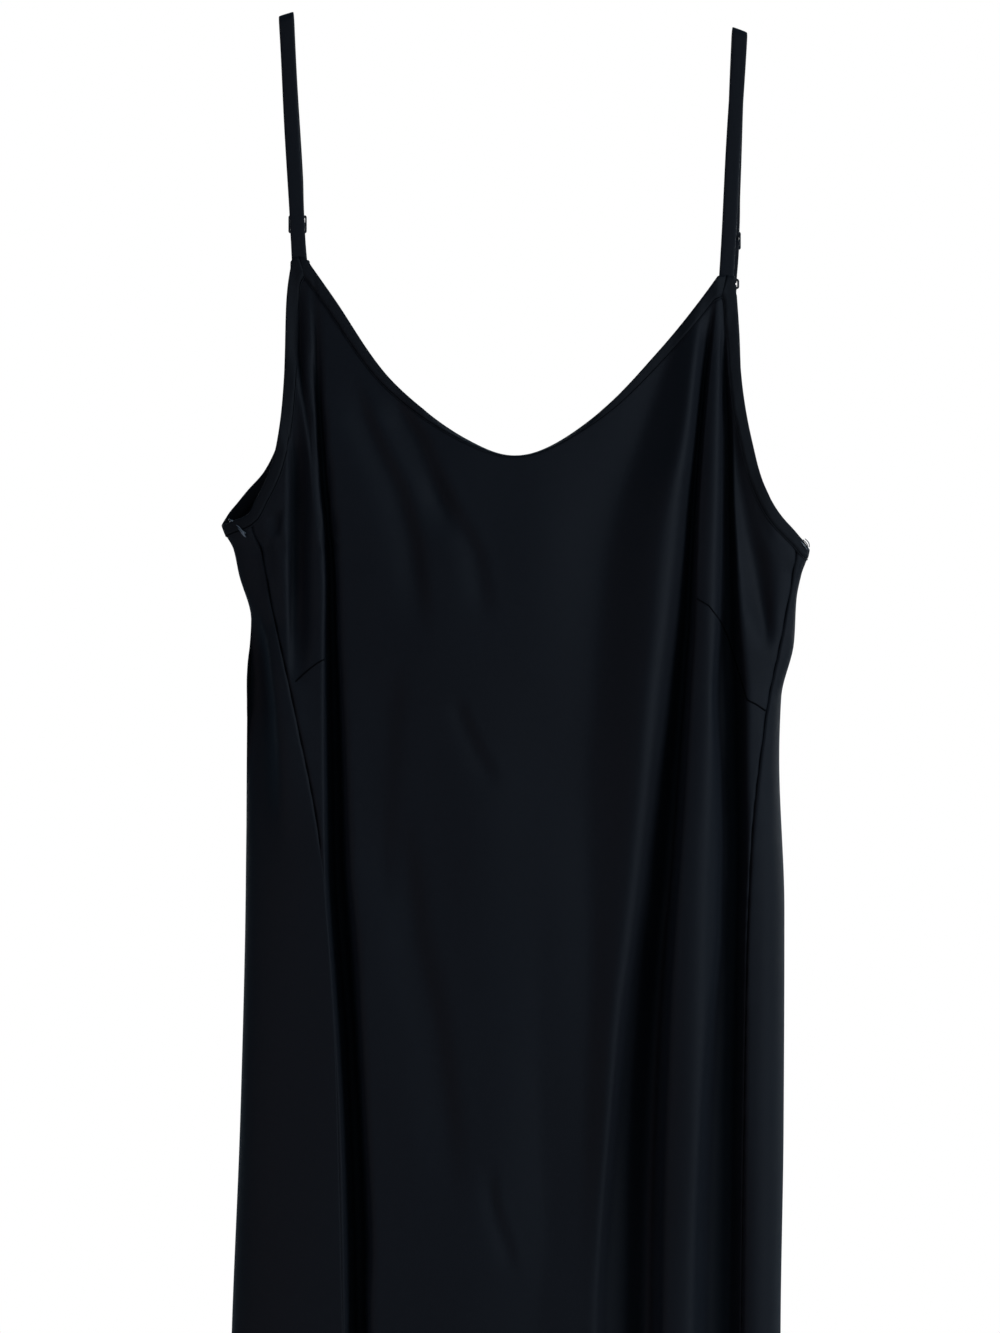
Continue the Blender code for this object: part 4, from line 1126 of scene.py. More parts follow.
def arc(middle, radius, start, end, steps):
    """Points of an arc in the (y, z) plane, with its ends given in degrees."""
    turns = np.radians(np.linspace(start, end, steps + 1))
    return [(middle[0] + radius * math.cos(a), middle[1] + radius * math.sin(a)) for a in turns]


def bar_height(side):
    """Height of the middle of a ring's upper bar."""
    return STRAPS[side].back_z + RING_LIFT + (RING_HEIGHT - RING_WIRE) / 2


def back_run_x(side, z):
    """x of the middle of a strap's back run."""
    line = STRAPS[side]
    foot = bar_height(side) + 2
    lean = SLIDER_LEAN[side] * hump(z - line.slider_z, LEAN_REACH, 4)
    risen = np.clip((z - foot) / (line.top_z - foot), 0, 1)
    return line.back_x + risen * (line.top_x - line.back_x) + lean


def strap_path(side):
    """The strap's (y, z) line, from below the front strap point round to the slider's middle bar."""
    line = STRAPS[side]
    top = line.top_z - STRAP_CLOTH / 2 - STRAP_TURN
    bar = (SLIDER_HEIGHT - SLIDER_BAR) / 2
    bar_z = bar_height(side)
    far, near = RING_Y + ROUND_BAR, RING_Y - ROUND_BAR
    behind = HARDWARE_Y - WEAVE_REACH
    foot = cloth_y(side, False)
    front = spline([(foot + 0.2, line.front_z - 7), (foot, line.front_z), (-STRAP_TURN - 1, top - 70),
                    (-STRAP_TURN, top)], 60)
    over = arc((0, top), STRAP_TURN, 180, 0, 26)
    down = spline([(STRAP_TURN, top), (STRAP_TURN + 0.3, top - 70),
                   (behind, line.slider_z + bar + 4)], 46)
    steps = np.linspace(bar + 2.5, -bar, 30)
    weave = np.column_stack((HARDWARE_Y + WEAVE_REACH * np.cos(math.pi * np.clip(steps / bar, -1, 1)),
                             line.slider_z + steps))
    lead = spline([weave[-1], (far, bar_z + 1.5), (far, bar_z)], 8)
    under = arc((RING_Y, bar_z), ROUND_BAR, 0, -180, 16)
    up = spline([under[-1], (near, bar_z + 2), (behind - STRAP_CLOTH - 0.9, line.slider_z - bar),
                 (behind - 0.1, line.slider_z)], 16)
    path = np.vstack((front[:-1], over, down[1:], weave[1:], lead[1:], under[1:], up[1:]))
    return path, len(front) + len(over) // 2 - 1


# Outline of a flat strip: share of its half-width, and share of its half-thickness.
RIBBON_SECTION = (
    (-1.0, 0.0), (-0.975, 0.6), (-0.92, 0.95), (-0.7, 1.05), (-0.35, 1.1), (0.0, 1.12),
    (0.35, 1.1), (0.7, 1.05), (0.92, 0.95), (0.975, 0.6), (1.0, 0.0), (0.975, -0.6),
    (0.92, -0.95), (0.5, -1.0), (0.0, -1.0), (-0.5, -1.0), (-0.92, -0.95), (-0.975, -0.6),
)


def ribbon_rings(path, middles, drop, width, thick, crown=0.0, ridge_x=None):
    """Closed sections of a flat strip that runs through (y, z) points."""
    along = unit(np.gradient(path, axis=0))
    outward = np.column_stack((-along[:, 1], along[:, 0]))
    half = width / 2
    rings = []
    for across, out in RIBBON_SECTION:
        lift = out * thick / 2 + (crown * (1 - across ** 2) if out > 0 else 0)
        if ridge_x is not None and out > 0:
            lift += RIDGE_HEIGHT * math.exp(-((across - ridge_x) / RIDGE_REACH) ** 2)
        x = middles + across * half
        y = path[:, 0] + lift * outward[:, 0]
        z = path[:, 1] + lift * outward[:, 1] + drop * across * half
        rings.append(np.column_stack((x, y, z)))
    return np.stack(rings, axis=1)


def make_strap(side, material):
    """A strap from the front over its turn and through the slider round the ring."""
    line = STRAPS[side]
    path, turn = strap_path(side)
    top = line.top_z - STRAP_CLOTH / 2 - STRAP_TURN
    rise = (path[:, 1] - line.front_z) / (line.top_z - line.front_z)
    middles = np.where(np.arange(len(path)) <= turn,
                       line.front_x + rise * (line.top_x - line.front_x), back_run_x(side, path[:, 1]))
    middles = middles + STRAP_WANDER * np.sin(run_of(path) / WANDER_LENGTH)
    outwards = -1 if side == "right" else 1
    drop = outwards * line.slant * np.clip((path[:, 1] - top + 40) / 40, 0, 1) ** 2
    width = sizes().strap_width / MM
    thick = sizes().strap_thickness / MM
    rings = ribbon_rings(path, middles, drop, width, thick, STRAP_CROWN, STRAP_RIDGE)
    piece = tube_piece(side + "_strap_tape", rings, material, [side + "_strap"])
    return piece


def make_tab(side, material):
    """The folded strip that holds the ring to the back."""
    line = STRAPS[side]
    bar_z = line.back_z + RING_LIFT - (RING_HEIGHT - RING_WIRE) / 2
    layer = (STRAP_CLOTH + GAP) / 2
    foot = cloth_y(side, True)
    ends = []
    for hand in (1, -1):
        y = foot + hand * layer
        ends.append([(y, line.back_z - 4), (y, line.back_z), (RING_Y + hand * ROUND_BAR, bar_z)])
    start, end = spline(ends[0], 10), spline(ends[1][::-1], 10)
    path = np.vstack((start[:-1], arc((RING_Y, bar_z), ROUND_BAR, 0, 180, 14), end[1:]))
    middles = np.full(len(path), line.back_x)
    thick = sizes().strap_thickness / MM
    rings = ribbon_rings(path, middles, np.zeros(len(path)), TAB_WIDTH, thick)
    piece = tube_piece(side + "_tab_tape", rings, material, [side + "_tab"])
    return piece


def make_ring(side, material):
    """A wire loop with round corners."""
    line = STRAPS[side]
    width, height = RING_WIDTH - RING_WIRE, RING_HEIGHT - RING_WIRE
    centre = []
    for turn, (sx, sz) in enumerate(((1, 1), (-1, 1), (-1, -1), (1, -1))):
        cx, cz = sx * (width / 2 - RING_CORNER), sz * (height / 2 - RING_CORNER)
        for a in np.radians(np.linspace(90 * turn, 90 * turn + 90, 9)):
            centre.append((cx + RING_CORNER * math.cos(a), cz + RING_CORNER * math.sin(a)))
    centre = np.array(centre)
    along = unit(np.roll(centre, -1, axis=0) - np.roll(centre, 1, axis=0))
    out = np.column_stack((along[:, 1], -along[:, 0]))
    radius = RING_WIRE / 2
    rings = []
    for a in np.linspace(0, 2 * math.pi, 16, endpoint=False):
        flat = centre + radius * math.cos(a) * out
        y = np.full(len(flat), RING_Y + radius * math.sin(a))
        z = flat[:, 1] + line.back_z + RING_LIFT
        rings.append(np.column_stack((flat[:, 0] + line.back_x, y, z)))
    rings = np.stack(rings, axis=1)
    rings = np.concatenate((rings, rings[:1]))
    work = grid_work(np.concatenate((rings, rings[:, :1]), axis=1), tube_weave(rings))
    bmesh.ops.remove_doubles(work, verts=work.verts, dist=1e-4)
    bmesh.ops.recalc_face_normals(work, faces=work.faces)
    return put_in_place(side + "_ring_wire", work, material, [side + "_ring"])


def make_slider(side, material):
    """A flat slider with three bars and two slots, its edges rounded."""
    slider_z = STRAPS[side].slider_z
    middle = (float(back_run_x(side, slider_z)), HARDWARE_Y, slider_z)
    work = bmesh.new()
    bmesh.ops.create_grid(work, x_segments=3, y_segments=5, size=0.5)
    half = SLIDER_WIDTH / 2
    lines_x = (-half, -half + SLIDER_SIDE, half - SLIDER_SIDE, half)
    bar, slot = SLIDER_BAR, (SLIDER_HEIGHT - 3 * SLIDER_BAR) / 2
    lines_z = np.cumsum((-SLIDER_HEIGHT / 2, bar, slot, bar, slot, bar))
    for vert in work.verts:
        x = lines_x[round((vert.co.x + 0.5) * 3)]
        z = lines_z[round((vert.co.y + 0.5) * 5)]
        vert.co = (x, -SLIDER_THICKNESS / 2, z)
    slots = [face for face in work.faces if abs(face.calc_center_median().x) < 1
             and SLIDER_BAR / 2 < abs(face.calc_center_median().z) < SLIDER_HEIGHT / 2 - SLIDER_BAR]
    bmesh.ops.delete(work, geom=slots, context="FACES_ONLY")
    extruded = bmesh.ops.extrude_face_region(work, geom=work.faces[:])
    lifted = [item for item in extruded["geom"] if isinstance(item, bmesh.types.BMVert)]
    bmesh.ops.translate(work, vec=(0, SLIDER_THICKNESS, 0), verts=lifted)
    bmesh.ops.recalc_face_normals(work, faces=work.faces)
    corners = [edge for edge in work.edges if abs(edge.verts[0].co.y - edge.verts[1].co.y) > 1
               and abs(edge.verts[0].co.x) > half - 0.01
               and abs(edge.verts[0].co.z) > SLIDER_HEIGHT / 2 - 0.01]
    bmesh.ops.bevel(work, geom=corners, offset=SLIDER_CORNER, offset_type="OFFSET", affect="EDGES",
                    segments=6, profile=0.5, material=-1)
    rims = [edge for edge in work.edges if len(edge.link_faces) == 2 and edge.calc_face_angle() > 1.2]
    bmesh.ops.bevel(work, geom=rims, offset=SLIDER_EDGE, offset_type="OFFSET", affect="EDGES",
                    segments=4, profile=0.5, material=-1)
    bmesh.ops.translate(work, vec=middle, verts=work.verts)
    nodes = [side + "_slider"]
    return put_in_place(side + "_slider_buckle", work, material, nodes, 40)


# ---- sewing ----------------------------------------------------------------------------------

STITCH_SHARE = 0.40  # half a stitch's length as a share of the way from one to the next
STITCH_SINK = 0.05
HEM_STITCH_SPACING = 1.25  # the hem's stitches are longer than the others
# radius of the near-black cord in each binding's ditch, which is painted shade
DITCH_SHADE_CORD = 0.30
# radii of the near-black cord along a dart, at its start and at its point, which is painted shade
DART_SHADE_CORD = (0.55, 0.36)
# radius of the near-black cord in each side seam, which is painted shade
SEAM_SHADE_CORD = 0.42
TACK_THREAD = 0.26
NO_THREAD = (0.31, 0.17, 0.93)  # a direction in which no thread runs


def stitch_row(name, points, normals, material, longer=1.0):
    """A row of small thread stitches along a line, each lying in the cloth."""
    spacing = sizes().stitch_length / MM * longer
    thread = sizes().thread_thickness / MM / 2
    run = run_of(points)
    count = max(2, int(run[-1] / spacing))
    at = (np.arange(count) + 0.5) * run[-1] / count
    middle = np.column_stack([np.interp(at, run, axis) for axis in points.T])
    facing = np.column_stack([np.interp(at, run, axis) for axis in normals.T])
    ahead = np.column_stack([np.interp(at + 0.5, run, axis) for axis in points.T])
    behind = np.column_stack([np.interp(at - 0.5, run, axis) for axis in points.T])
    work = bmesh.new()
    for place, out, way in zip(middle, facing, ahead - behind):
        z_axis = Vector(out).normalized()
        x_axis = Vector(way).normalized()
        y_axis = z_axis.cross(x_axis).normalized()
        z_axis = x_axis.cross(y_axis)
        turn = Matrix((x_axis, y_axis, z_axis)).transposed().to_4x4()
        size = Matrix.Diagonal((spacing * STITCH_SHARE, thread, thread, 1.0))
        put = Matrix.Translation(Vector(place) - z_axis * (STITCH_SINK - thread * 0.4)) @ turn @ size
        bmesh.ops.create_uvsphere(work, u_segments=6, v_segments=4, radius=1.0, matrix=put)
    return put_in_place(name, work, material, [])


def cord_rings(points, radius, sides=8):
    """Closed sections of a thin round thread through points."""
    along = unit(np.gradient(points, axis=0))
    first = unit(np.cross(along, np.array(NO_THREAD)))
    second = np.cross(along, first)
    radius = (radius * np.ones(len(points)))[:, None]
    turns = np.linspace(0, 2 * math.pi, sides, endpoint=False)
    rings = [points + radius * (math.cos(a) * first + math.sin(a) * second) for a in turns]
    return np.stack(rings, axis=1)


def binding_stitches(name, lines, rolled, material):
    """Stitches in the dip along a binding's lower edge, and a near-black cord laid in that dip as
    painted shade.
    """
    rings = binding_rings(*lines, rolled)[2:-2]
    low, high = STITCH_DIP
    points = (rings[:, low] + rings[:, high]) / 2
    out = unit(points - rings[:, INSIDE_POINT])
    # A near-black cord in the ditch: painted shade of the step from panel to binding.
    tube_piece(name + "_painted_groove_shade", cord_rings(points, DITCH_SHADE_CORD, 6), material, [])
    return stitch_row(name, points + 0.28 * out, out, material)


def on_front(points, lift, count):
    """Points of the cloth along (x, z) places as seen from the front, lifted off it."""
    line = even(np.array(points, float), count)
    places = np.array([front_angle(x, z) for x, z in line])
    return cloth_point(*places.T) + lift * cloth_normal(*places.T)


DARTS = {
    "right": ((160.8, -440.2), (155.0, -436.2), (149.1, -433.3), (143.4, -414), (136.5, -392),
              (131.8, -382.7), (124.8, -373.1), (117.1, -368.6)),
    "left": ((-139.6, -421.6), (-134.8, -417.0), (-130.6, -413.4), (-125.5, -409.6), (-121.4, -407.4)),
}


def make_dart(side, material):
    """The sewn line of a bust dart as a near-black cord, painted shade of its groove, thin and fading
    out towards its point.
    """
    points = on_front(DARTS[side], 0.05, 60)
    rings = cord_rings(points, np.linspace(*DART_SHADE_CORD, len(points)))
    return tube_piece(side + "_dart_shade_line", rings, material, [])


SEAM_ENDS = {"left": (SEAM_COVERED, -336), "right": (HEM_LEVEL + 1, -331)}


def side_seam_line(side, material):
    """The sunk line of a side seam: a near-black cord in the seam's groove, as painted shade."""
    levels = np.linspace(*SEAM_ENDS[side], 320)
    angles = np.array([float(seam_angle(level, side)) for level in levels])
    sunk = cloth_point(angles, levels) - cloth_normal(angles, levels)
    rings = cord_rings(sunk, SEAM_SHADE_CORD, 6)
    return tube_piece(side + "_seam_shade_cord", rings, material, [])


def make_hem_stitches(material):
    """One row of stitches round the hem."""
    angles = np.linspace(0, 2 * math.pi, 900)
    levels = np.full(len(angles), HEM_LEVEL + sizes().hem_height / MM)
    normal = cloth_normal(angles, levels)
    points = cloth_point(angles, levels) - 0.42 * normal
    return stitch_row("hem_stitches", points, normal, material, HEM_STITCH_SPACING)


# Loops of pale thread where the bindings were joined at the underarms: (x, z) of both ends as seen
# from the front, how far the middle stands up, how far it swings sideways.
TACKS = {
    "left": (
        ((-176.6, -321.8), (-171.4, -327.6), 0.7, 0.5),
        ((-175.4, -322.4), (-170.6, -327.0), 0.5, -0.3),
        ((-175.8, -323.4), (-171.0, -328.8), 0.9, 0.2),
        ((-174.4, -324.4), (-170.6, -329.4), 0.5, -0.5),
        ((-181.6, -318.4), (-179.2, -319.4), 0.8, 0.4),
        ((-181.0, -319.4), (-179.0, -318.6), 0.6, -0.2),
    ),
    "right": (
        ((184.0, -331.0), (187.2, -337.6), 1.1, 0.5),
        ((182.6, -332.0), (186.4, -337.0), 0.8, -0.4),
        ((185.2, -330.4), (188.0, -335.6), 1.0, 0.4),
    ),
}


def make_tack(side, material):
    """A tack of pale, shiny thread at an underarm."""
    work = bmesh.new()
    for start, end, lift, swing in TACKS[side]:
        line = even(np.array((start, end), float), 15)
        places = on_ring(line)
        t = np.linspace(0, 1, len(line))
        bow = np.sin(math.pi * t)
        face = cloth_point(places[:, 0], places[:, 1], folded=False)
        normal = cloth_normal(places[:, 0], places[:, 1], folded=False)
        way = face[-1] - face[0]
        sideways = np.cross(normal, way / np.linalg.norm(way))
        points = face + (0.9 + lift * bow)[:, None] * normal + (swing * bow)[:, None] * sideways
        rings = cord_rings(points, TACK_THREAD + 0.06 * bow, 6)
        strand = closed_work(rings, tube_weave(rings))
        mesh = bpy.data.meshes.new("strand")
        strand.to_mesh(mesh)
        strand.free()
        work.from_mesh(mesh)
        bpy.data.meshes.remove(mesh)
    return put_in_place(side + "_thread_tack", work, material, [])


# ---- materials -------------------------------------------------------------------------------

class Nodes:
    """Adds and joins the nodes of one material."""

    def __init__(self, name):
        self.material = bpy.data.materials.new(name)
        self.material.use_nodes = True
        self.tree = self.material.node_tree
        self.shader = self.tree.nodes["Principled BSDF"]

    def add(self, kind, inputs=None, **settings):
        """A new node with these inputs and settings."""
        node = self.tree.nodes.new(kind)
        for key, value in settings.items():
            setattr(node, key, value)
        for key, value in (inputs or {}).items():
            self.feed(node, key, value)
        return node

    def feed(self, node, key, value):
        """Sets an input, or joins it to another node's output."""
        if isinstance(value, bpy.types.NodeSocket):
            self.tree.links.new(value, node.inputs[key])
        else:
            node.inputs[key].default_value = value

    def ramp(self, factor, stops):
        """A colour that changes with a factor, through (place, colour) stops."""
        node = self.add("ShaderNodeValToRGB", {"Fac": factor})
        elements = node.color_ramp.elements
        while len(elements) < len(stops):
            elements.new(0.5)
        for element, (at, colour) in zip(elements, stops):
            element.position = at
            element.color = (*colour, 1.0)
        return node.outputs["Color"]

    def maths(self, operation, first, second):
        """The result of a calculation with two values."""
        return self.add("ShaderNodeMath", {0: first, 1: second}, operation=operation).outputs[0]

    def noise(self, where, scale, detail, **inputs):
        """A noise pattern of a place."""
        node = self.add("ShaderNodeTexNoise", {"Vector": where, "Scale": scale, "Detail": detail})
        for key, value in inputs.items():
            self.feed(node, key, value)
        return node.outputs["Fac"]

    def between(self, factor, low, high):
        """A value that goes from low to high with a factor."""
        ends = {"Value": factor, "To Min": low, "To Max": high}
        return self.add("ShaderNodeMapRange", ends).outputs[0]

    def finish(self, **inputs):
        """Sets inputs of the shader; an underscore in a name stands for a space."""
        for key, value in inputs.items():
            self.feed(self.shader, key.replace("_", " "), value)

    def dent(self, height, strength, distance):
        """Dents the surface by a height."""
        inputs = {"Height": height, "Strength": strength, "Distance": distance}
        self.finish(Normal=self.add("ShaderNodeBump", inputs).outputs[0])


def shade(colour, by):
    """The colour made lighter or darker."""
    return tuple(channel * by for channel in colour)


WAVE_BANDS = 0.314  # scale of a wave pattern that gives one band a unit


def make_cloth(name, colour, roughness, sheen, bump, weave_pitch):
    """Crepe: a fine twisted weave with slubs, a soft sheen and slow shifts of tone."""
    n = Nodes(name)
    where = n.add("ShaderNodeUVMap", uv_map="cloth").outputs["UV"]
    body = n.add("ShaderNodeTexCoord").outputs["Object"]
    bands = WAVE_BANDS / weave_pitch
    threads = []
    for direction, scale, wander, small in (("X", bands, 1.6, 1.4), ("Y", bands * 1.08, 1.8, 1.2)):
        threads.append(n.add("ShaderNodeTexWave", {
            "Vector": where, "Scale": scale, "Distortion": wander, "Detail": 2.0, "Detail Scale": small,
        }, wave_type="BANDS", bands_direction=direction).outputs["Fac"])
    pebble = n.noise(where, 900.0, 3.0, Roughness=0.62)
    slub_place = n.add("ShaderNodeMapping", {"Vector": where, "Scale": (420.0, 60.0, 1.0)})
    slub = n.noise(slub_place.outputs[0], 1.0, 4.0, Roughness=0.6)
    tone = n.noise(body, 5.5, 3.0, Roughness=0.5)
    weave = n.maths("MULTIPLY", *threads)
    height = n.maths("ADD", n.maths("MULTIPLY", weave, 0.5), n.maths("MULTIPLY", pebble, 0.5))
    height = n.maths("ADD", height, n.maths("MULTIPLY", slub, 0.35))
    warmer = (colour[0] * 1.08, colour[1] * 0.98, colour[2] * 0.96)
    tint = n.ramp(tone, ((0.3, shade(warmer, 0.92)), (0.7, shade(colour, 1.06))))
    thread = n.ramp(height, ((0.25, (0.62, 0.62, 0.62)), (0.95, (1.25, 1.25, 1.25))))
    paint = n.add("ShaderNodeMix", data_type="RGBA", blend_type="MULTIPLY")
    for place, value in ((0, 1.0), (6, tint), (7, thread)):
        n.feed(paint, place, value)
    n.finish(Base_Color=paint.outputs[2], Roughness=n.between(slub, roughness - 0.06, roughness + 0.08),
             Specular_IOR_Level=colours().cloth_gloss, Sheen_Weight=sheen, Sheen_Roughness=0.42,
             Sheen_Tint=(0.72, 0.82, 1.0, 1.0))
    n.dent(height, bump, 0.00022)
    return n.material


def make_coated_metal():
    """Black lacquer on metal, with fine dust-like unevenness and slightly worn, lighter patches."""
    n = Nodes("black_coated_metal_finish")
    body = n.add("ShaderNodeTexCoord").outputs["Object"]
    specks = n.noise(body, 1400.0, 3.0)
    wear = n.noise(body, 420.0, 2.0)
    colour = colours().metal_colour
    n.finish(Base_Color=n.ramp(wear, ((0.45, tuple(colour)), (0.8, shade(colour, 2.2)))),
             Roughness=n.between(specks, 0.34, 0.5), Metallic=0.0, Specular_IOR_Level=0.3)
    n.dent(specks, 0.25, 0.0001)
    return n.material


def make_thread(name, colour, roughness, gloss):
    """Twisted sewing thread."""
    n = Nodes(name)
    body = n.add("ShaderNodeTexCoord").outputs["Object"]
    twist = n.add("ShaderNodeTexWave", {"Vector": body, "Scale": 420.0, "Distortion": 2.0},
                  wave_type="BANDS", bands_direction="DIAGONAL").outputs["Fac"]
    n.finish(Base_Color=n.ramp(twist, ((0.1, shade(colour, 0.7)), (0.9, shade(colour, 1.2)))),
             Roughness=roughness, Specular_IOR_Level=gloss)
    n.dent(twist, 0.4, 0.0001)
    return n.material


FINISHES = {}


def finish_of(name):
    """The finish with this name, made on its first use."""
    if name not in FINISHES:
        c, sheen, pitch = colours(), colours().cloth_sheen, sizes().weave_pitch
        makers = {
            "crepe": (make_cloth, "black_crepe_cloth", c.crepe_colour, 0.60, sheen, 0.5, pitch),
            "trim": (make_cloth, "black_crepe_tape", c.trim_colour, 0.62, sheen, 0.6, pitch * 0.9),
            "strap": (make_cloth, "black_strap_tape", c.strap_colour, 0.58, sheen, 0.6, pitch * 0.9),
            "metal": (make_coated_metal,),
            # Black thread for the stitches; the same material paints the shade of the binding ditches,
            # darts and side seams as near-black cords.
            "thread": (make_thread, "black_thread", c.thread_and_shade_colour, 0.7, 0.03),
            "pale thread": (make_thread, "pale_thread", c.tack_colour, 0.25, 0.5),
        }
        make, *values = makers[name]
        FINISHES[name] = make(*values)
    return FINISHES[name]


# ---- settings --------------------------------------------------------------------------------

def length_setting(name, description, default, low, high):
    """A setting in metres."""
    return FloatProperty(name=name, description=description, default=default, min=low, max=high,
                         unit="LENGTH", precision=5)


def colour_setting(name, description, default):
    """A colour setting."""
    return FloatVectorProperty(name=name, description=description, default=default, size=3, min=0,
                               max=1, subtype="COLOR")


def share_setting(name, description, default, high):
    """A plain setting from 0 up."""
    return FloatProperty(name=name, description=description, default=default, min=0, max=high)


def power_setting(name, description, default):
    """A lamp's power in watts."""
    return FloatProperty(name=name, description=description, default=default, min=0, unit="POWER")


class SlipDressSizes(bpy.types.PropertyGroup):
    """Sizes of the dress's cloth, straps and sewing"""
    cloth_thickness: length_setting("Crepe", "Thickness of the crepe", 0.0009, 0.0004, 0.0013)
    strap_width: length_setting("Strap Width", "Width of the pressed strap", 0.0094, 0.006, 0.0095)
    strap_thickness: length_setting("Strap Thickness", "Thickness of the pressed strap", 0.0011,
                                    0.0006, 0.0012)
    hem_height: length_setting("Hem", "Height of the turned hem", 0.012, 0.005, 0.04)
    stitch_length: length_setting("Stitch", "Length of one machine stitch", 0.0026, 0.0015, 0.005)
    thread_thickness: length_setting("Thread", "Thickness of the thread", 0.00042, 0.0002, 0.0008)
    weave_pitch: length_setting("Weave", "Distance from one thread of the weave to the next", 0.00048,
                                0.0002, 0.002)


class SlipDressColours(bpy.types.PropertyGroup):
    """Colours and gloss of the dress"""
    crepe_colour: colour_setting("Crepe", "Colour of the panels", (0.0045, 0.0053, 0.0073))
    trim_colour: colour_setting("Binding", "Colour of the bindings", (0.0034, 0.0041, 0.0056))
    strap_colour: colour_setting("Strap", "Colour of the straps", (0.0050, 0.0058, 0.0078))
    metal_colour: colour_setting("Buckles", "Colour of the coated metal", (0.006, 0.006, 0.007))
    # Near-black and darker than the crepe: it colours the stitches and also paints the shade in the
    # binding ditches, darts and side seams.
    thread_and_shade_colour: colour_setting("Thread", "Colour of the sewing thread", (0.0010, 0.0011, 0.0014))
    tack_colour: colour_setting("Pale Thread", "Colour of the underarm tacks", (0.085, 0.095, 0.105))
    cloth_gloss: share_setting("Gloss", "Strength of the cloth's soft highlight", 0.12, 1)
    cloth_sheen: share_setting("Sheen", "Strength of the cloth's sheen at its turning edges", 0.02, 1)


class SlipDressStudio(bpy.types.PropertyGroup):
    """Light and ground of the studio"""
    key_power: power_setting("Main Light", "Power of the soft light from the right", 46.0)
    fill_power: power_setting("Fill Light", "Power of the soft light from the left", 11.0)
    back_power: power_setting("Back Light", "Power of the soft lights behind", 20.0)
    surround: share_setting("Surround", "Brightness of the white room on the dress", 0.15, 2)
    floor_drop: length_setting("Floor", "Height of the hem over the floor", 0.26, 0, 1)


def sizes():
    """The scene's sizes."""
    return bpy.context.scene.slip_dress_sizes


def colours():
    """The scene's colours."""
    return bpy.context.scene.slip_dress_colours


# ---- operators -------------------------------------------------------------------------------

class DRESS_OT_front_panel(bpy.types.Operator):
    """Make the front panel with its folds"""
    bl_idname = "dress.front_panel"
    bl_label = "Front Panel"

    def execute(self, context):
        left, right = armhole_seam("left")[0], armhole_seam("right")[0]
        top = np.vstack((left[:0:-1], neck_seam(False)[:-1], right))
        make_panel("front_panel", FRONT_GUIDES, top, finish_of("crepe"))
        return {"FINISHED"}


class DRESS_OT_back_panel(bpy.types.Operator):
    """Make the back panel, which wraps forward round both sides"""
    bl_idname = "dress.back_panel"
    bl_label = "Back Panel"

    def execute(self, context):
        left = armhole_seam("left")[1][::-1] + FULL_TURN
        top = np.vstack((armhole_seam("right")[1][:-1], neck_seam(True)[:0:-1], left))
        make_panel("back_panel", BACK_GUIDES, top, finish_of("crepe"))
        return {"FINISHED"}


class DRESS_OT_bindings(bpy.types.Operator):
    """Make the bindings of the neck and the armholes, with their stitches"""
    bl_idname = "dress.bindings"
    bl_label = "Bindings"

    def execute(self, context):
        bindings = {
            "front_neck_binding": (neck_binding_lines(False), True),
            "back_neck_binding": (neck_binding_lines(True), False),
            "left_armhole_binding": (armhole_binding_lines("left"), False),
            "right_armhole_binding": (armhole_binding_lines("right"), False),
        }
        for name, (lines, rolled) in bindings.items():
            make_binding(name, lines, rolled, finish_of("trim"))
            binding_stitches(name + "_stitches", lines, rolled, finish_of("thread"))
        return {"FINISHED"}


class DRESS_OT_straps(bpy.types.Operator):
    """Make the straps with their tabs, rings and sliders"""
    bl_idname = "dress.straps"
    bl_label = "Straps"

    def execute(self, context):
        for side in STRAPS:
            make_ring(side, finish_of("metal"))
            make_slider(side, finish_of("metal"))
            make_strap(side, finish_of("strap"))
            make_tab(side, finish_of("strap"))
        return {"FINISHED"}


class DRESS_OT_sewing(bpy.types.Operator):
    """Make the darts, side seams, hem stitches and thread tacks"""
    bl_idname = "dress.sewing"
    bl_label = "Sewing"

    def execute(self, context):
        for side in STRAPS:
            make_dart(side, finish_of("thread"))
            side_seam_line(side, finish_of("thread"))
            make_tack(side, finish_of("pale thread"))
        make_hem_stitches(finish_of("thread"))
        return {"FINISHED"}


class DRESS_OT_studio(bpy.types.Operator):
    """Make the floor, the soft lights and the camera"""
    bl_idname = "dress.studio"
    bl_label = "Studio"

    def execute(self, context):
        make_floor()
        make_lights()
        make_camera()
        return {"FINISHED"}


def make_floor():
    """A plain pale floor below the dress."""
    studio = bpy.context.scene.slip_dress_studio
    n = Nodes("pale_floor")
    body = n.add("ShaderNodeTexCoord").outputs["Object"]
    grain = n.noise(body, 3.0, 4.0)
    n.finish(Base_Color=n.ramp(grain, ((0.3, (0.80, 0.80, 0.79)), (0.7, (0.84, 0.84, 0.83)))),
             Roughness=0.85)
    work = bmesh.new()
    bmesh.ops.create_circle(work, cap_ends=True, segments=96, radius=2.4)
    bmesh.ops.translate(work, vec=(0, 0, HEM_LEVEL * MM - studio.floor_drop), verts=work.verts)
    mesh = bpy.data.meshes.new("floor")
    work.to_mesh(mesh)
    work.free()
    mesh.materials.append(n.material)
    in_scene("floor", mesh)


LIGHT_AIM = (0, 0, -0.5)


def soft_light(name, place, size, watts, tint):
    """A large soft light that looks at the middle of the dress."""
    light = bpy.data.lights.new(name, "AREA")
    light.shape = "RECTANGLE"
    light.size, light.size_y = size
    light.energy = watts
    light.color = tint
    lamp = in_scene(name, light)
    lamp.location = place
    lamp.rotation_euler = (Vector(LIGHT_AIM) - Vector(place)).to_track_quat("-Z", "Y").to_euler()


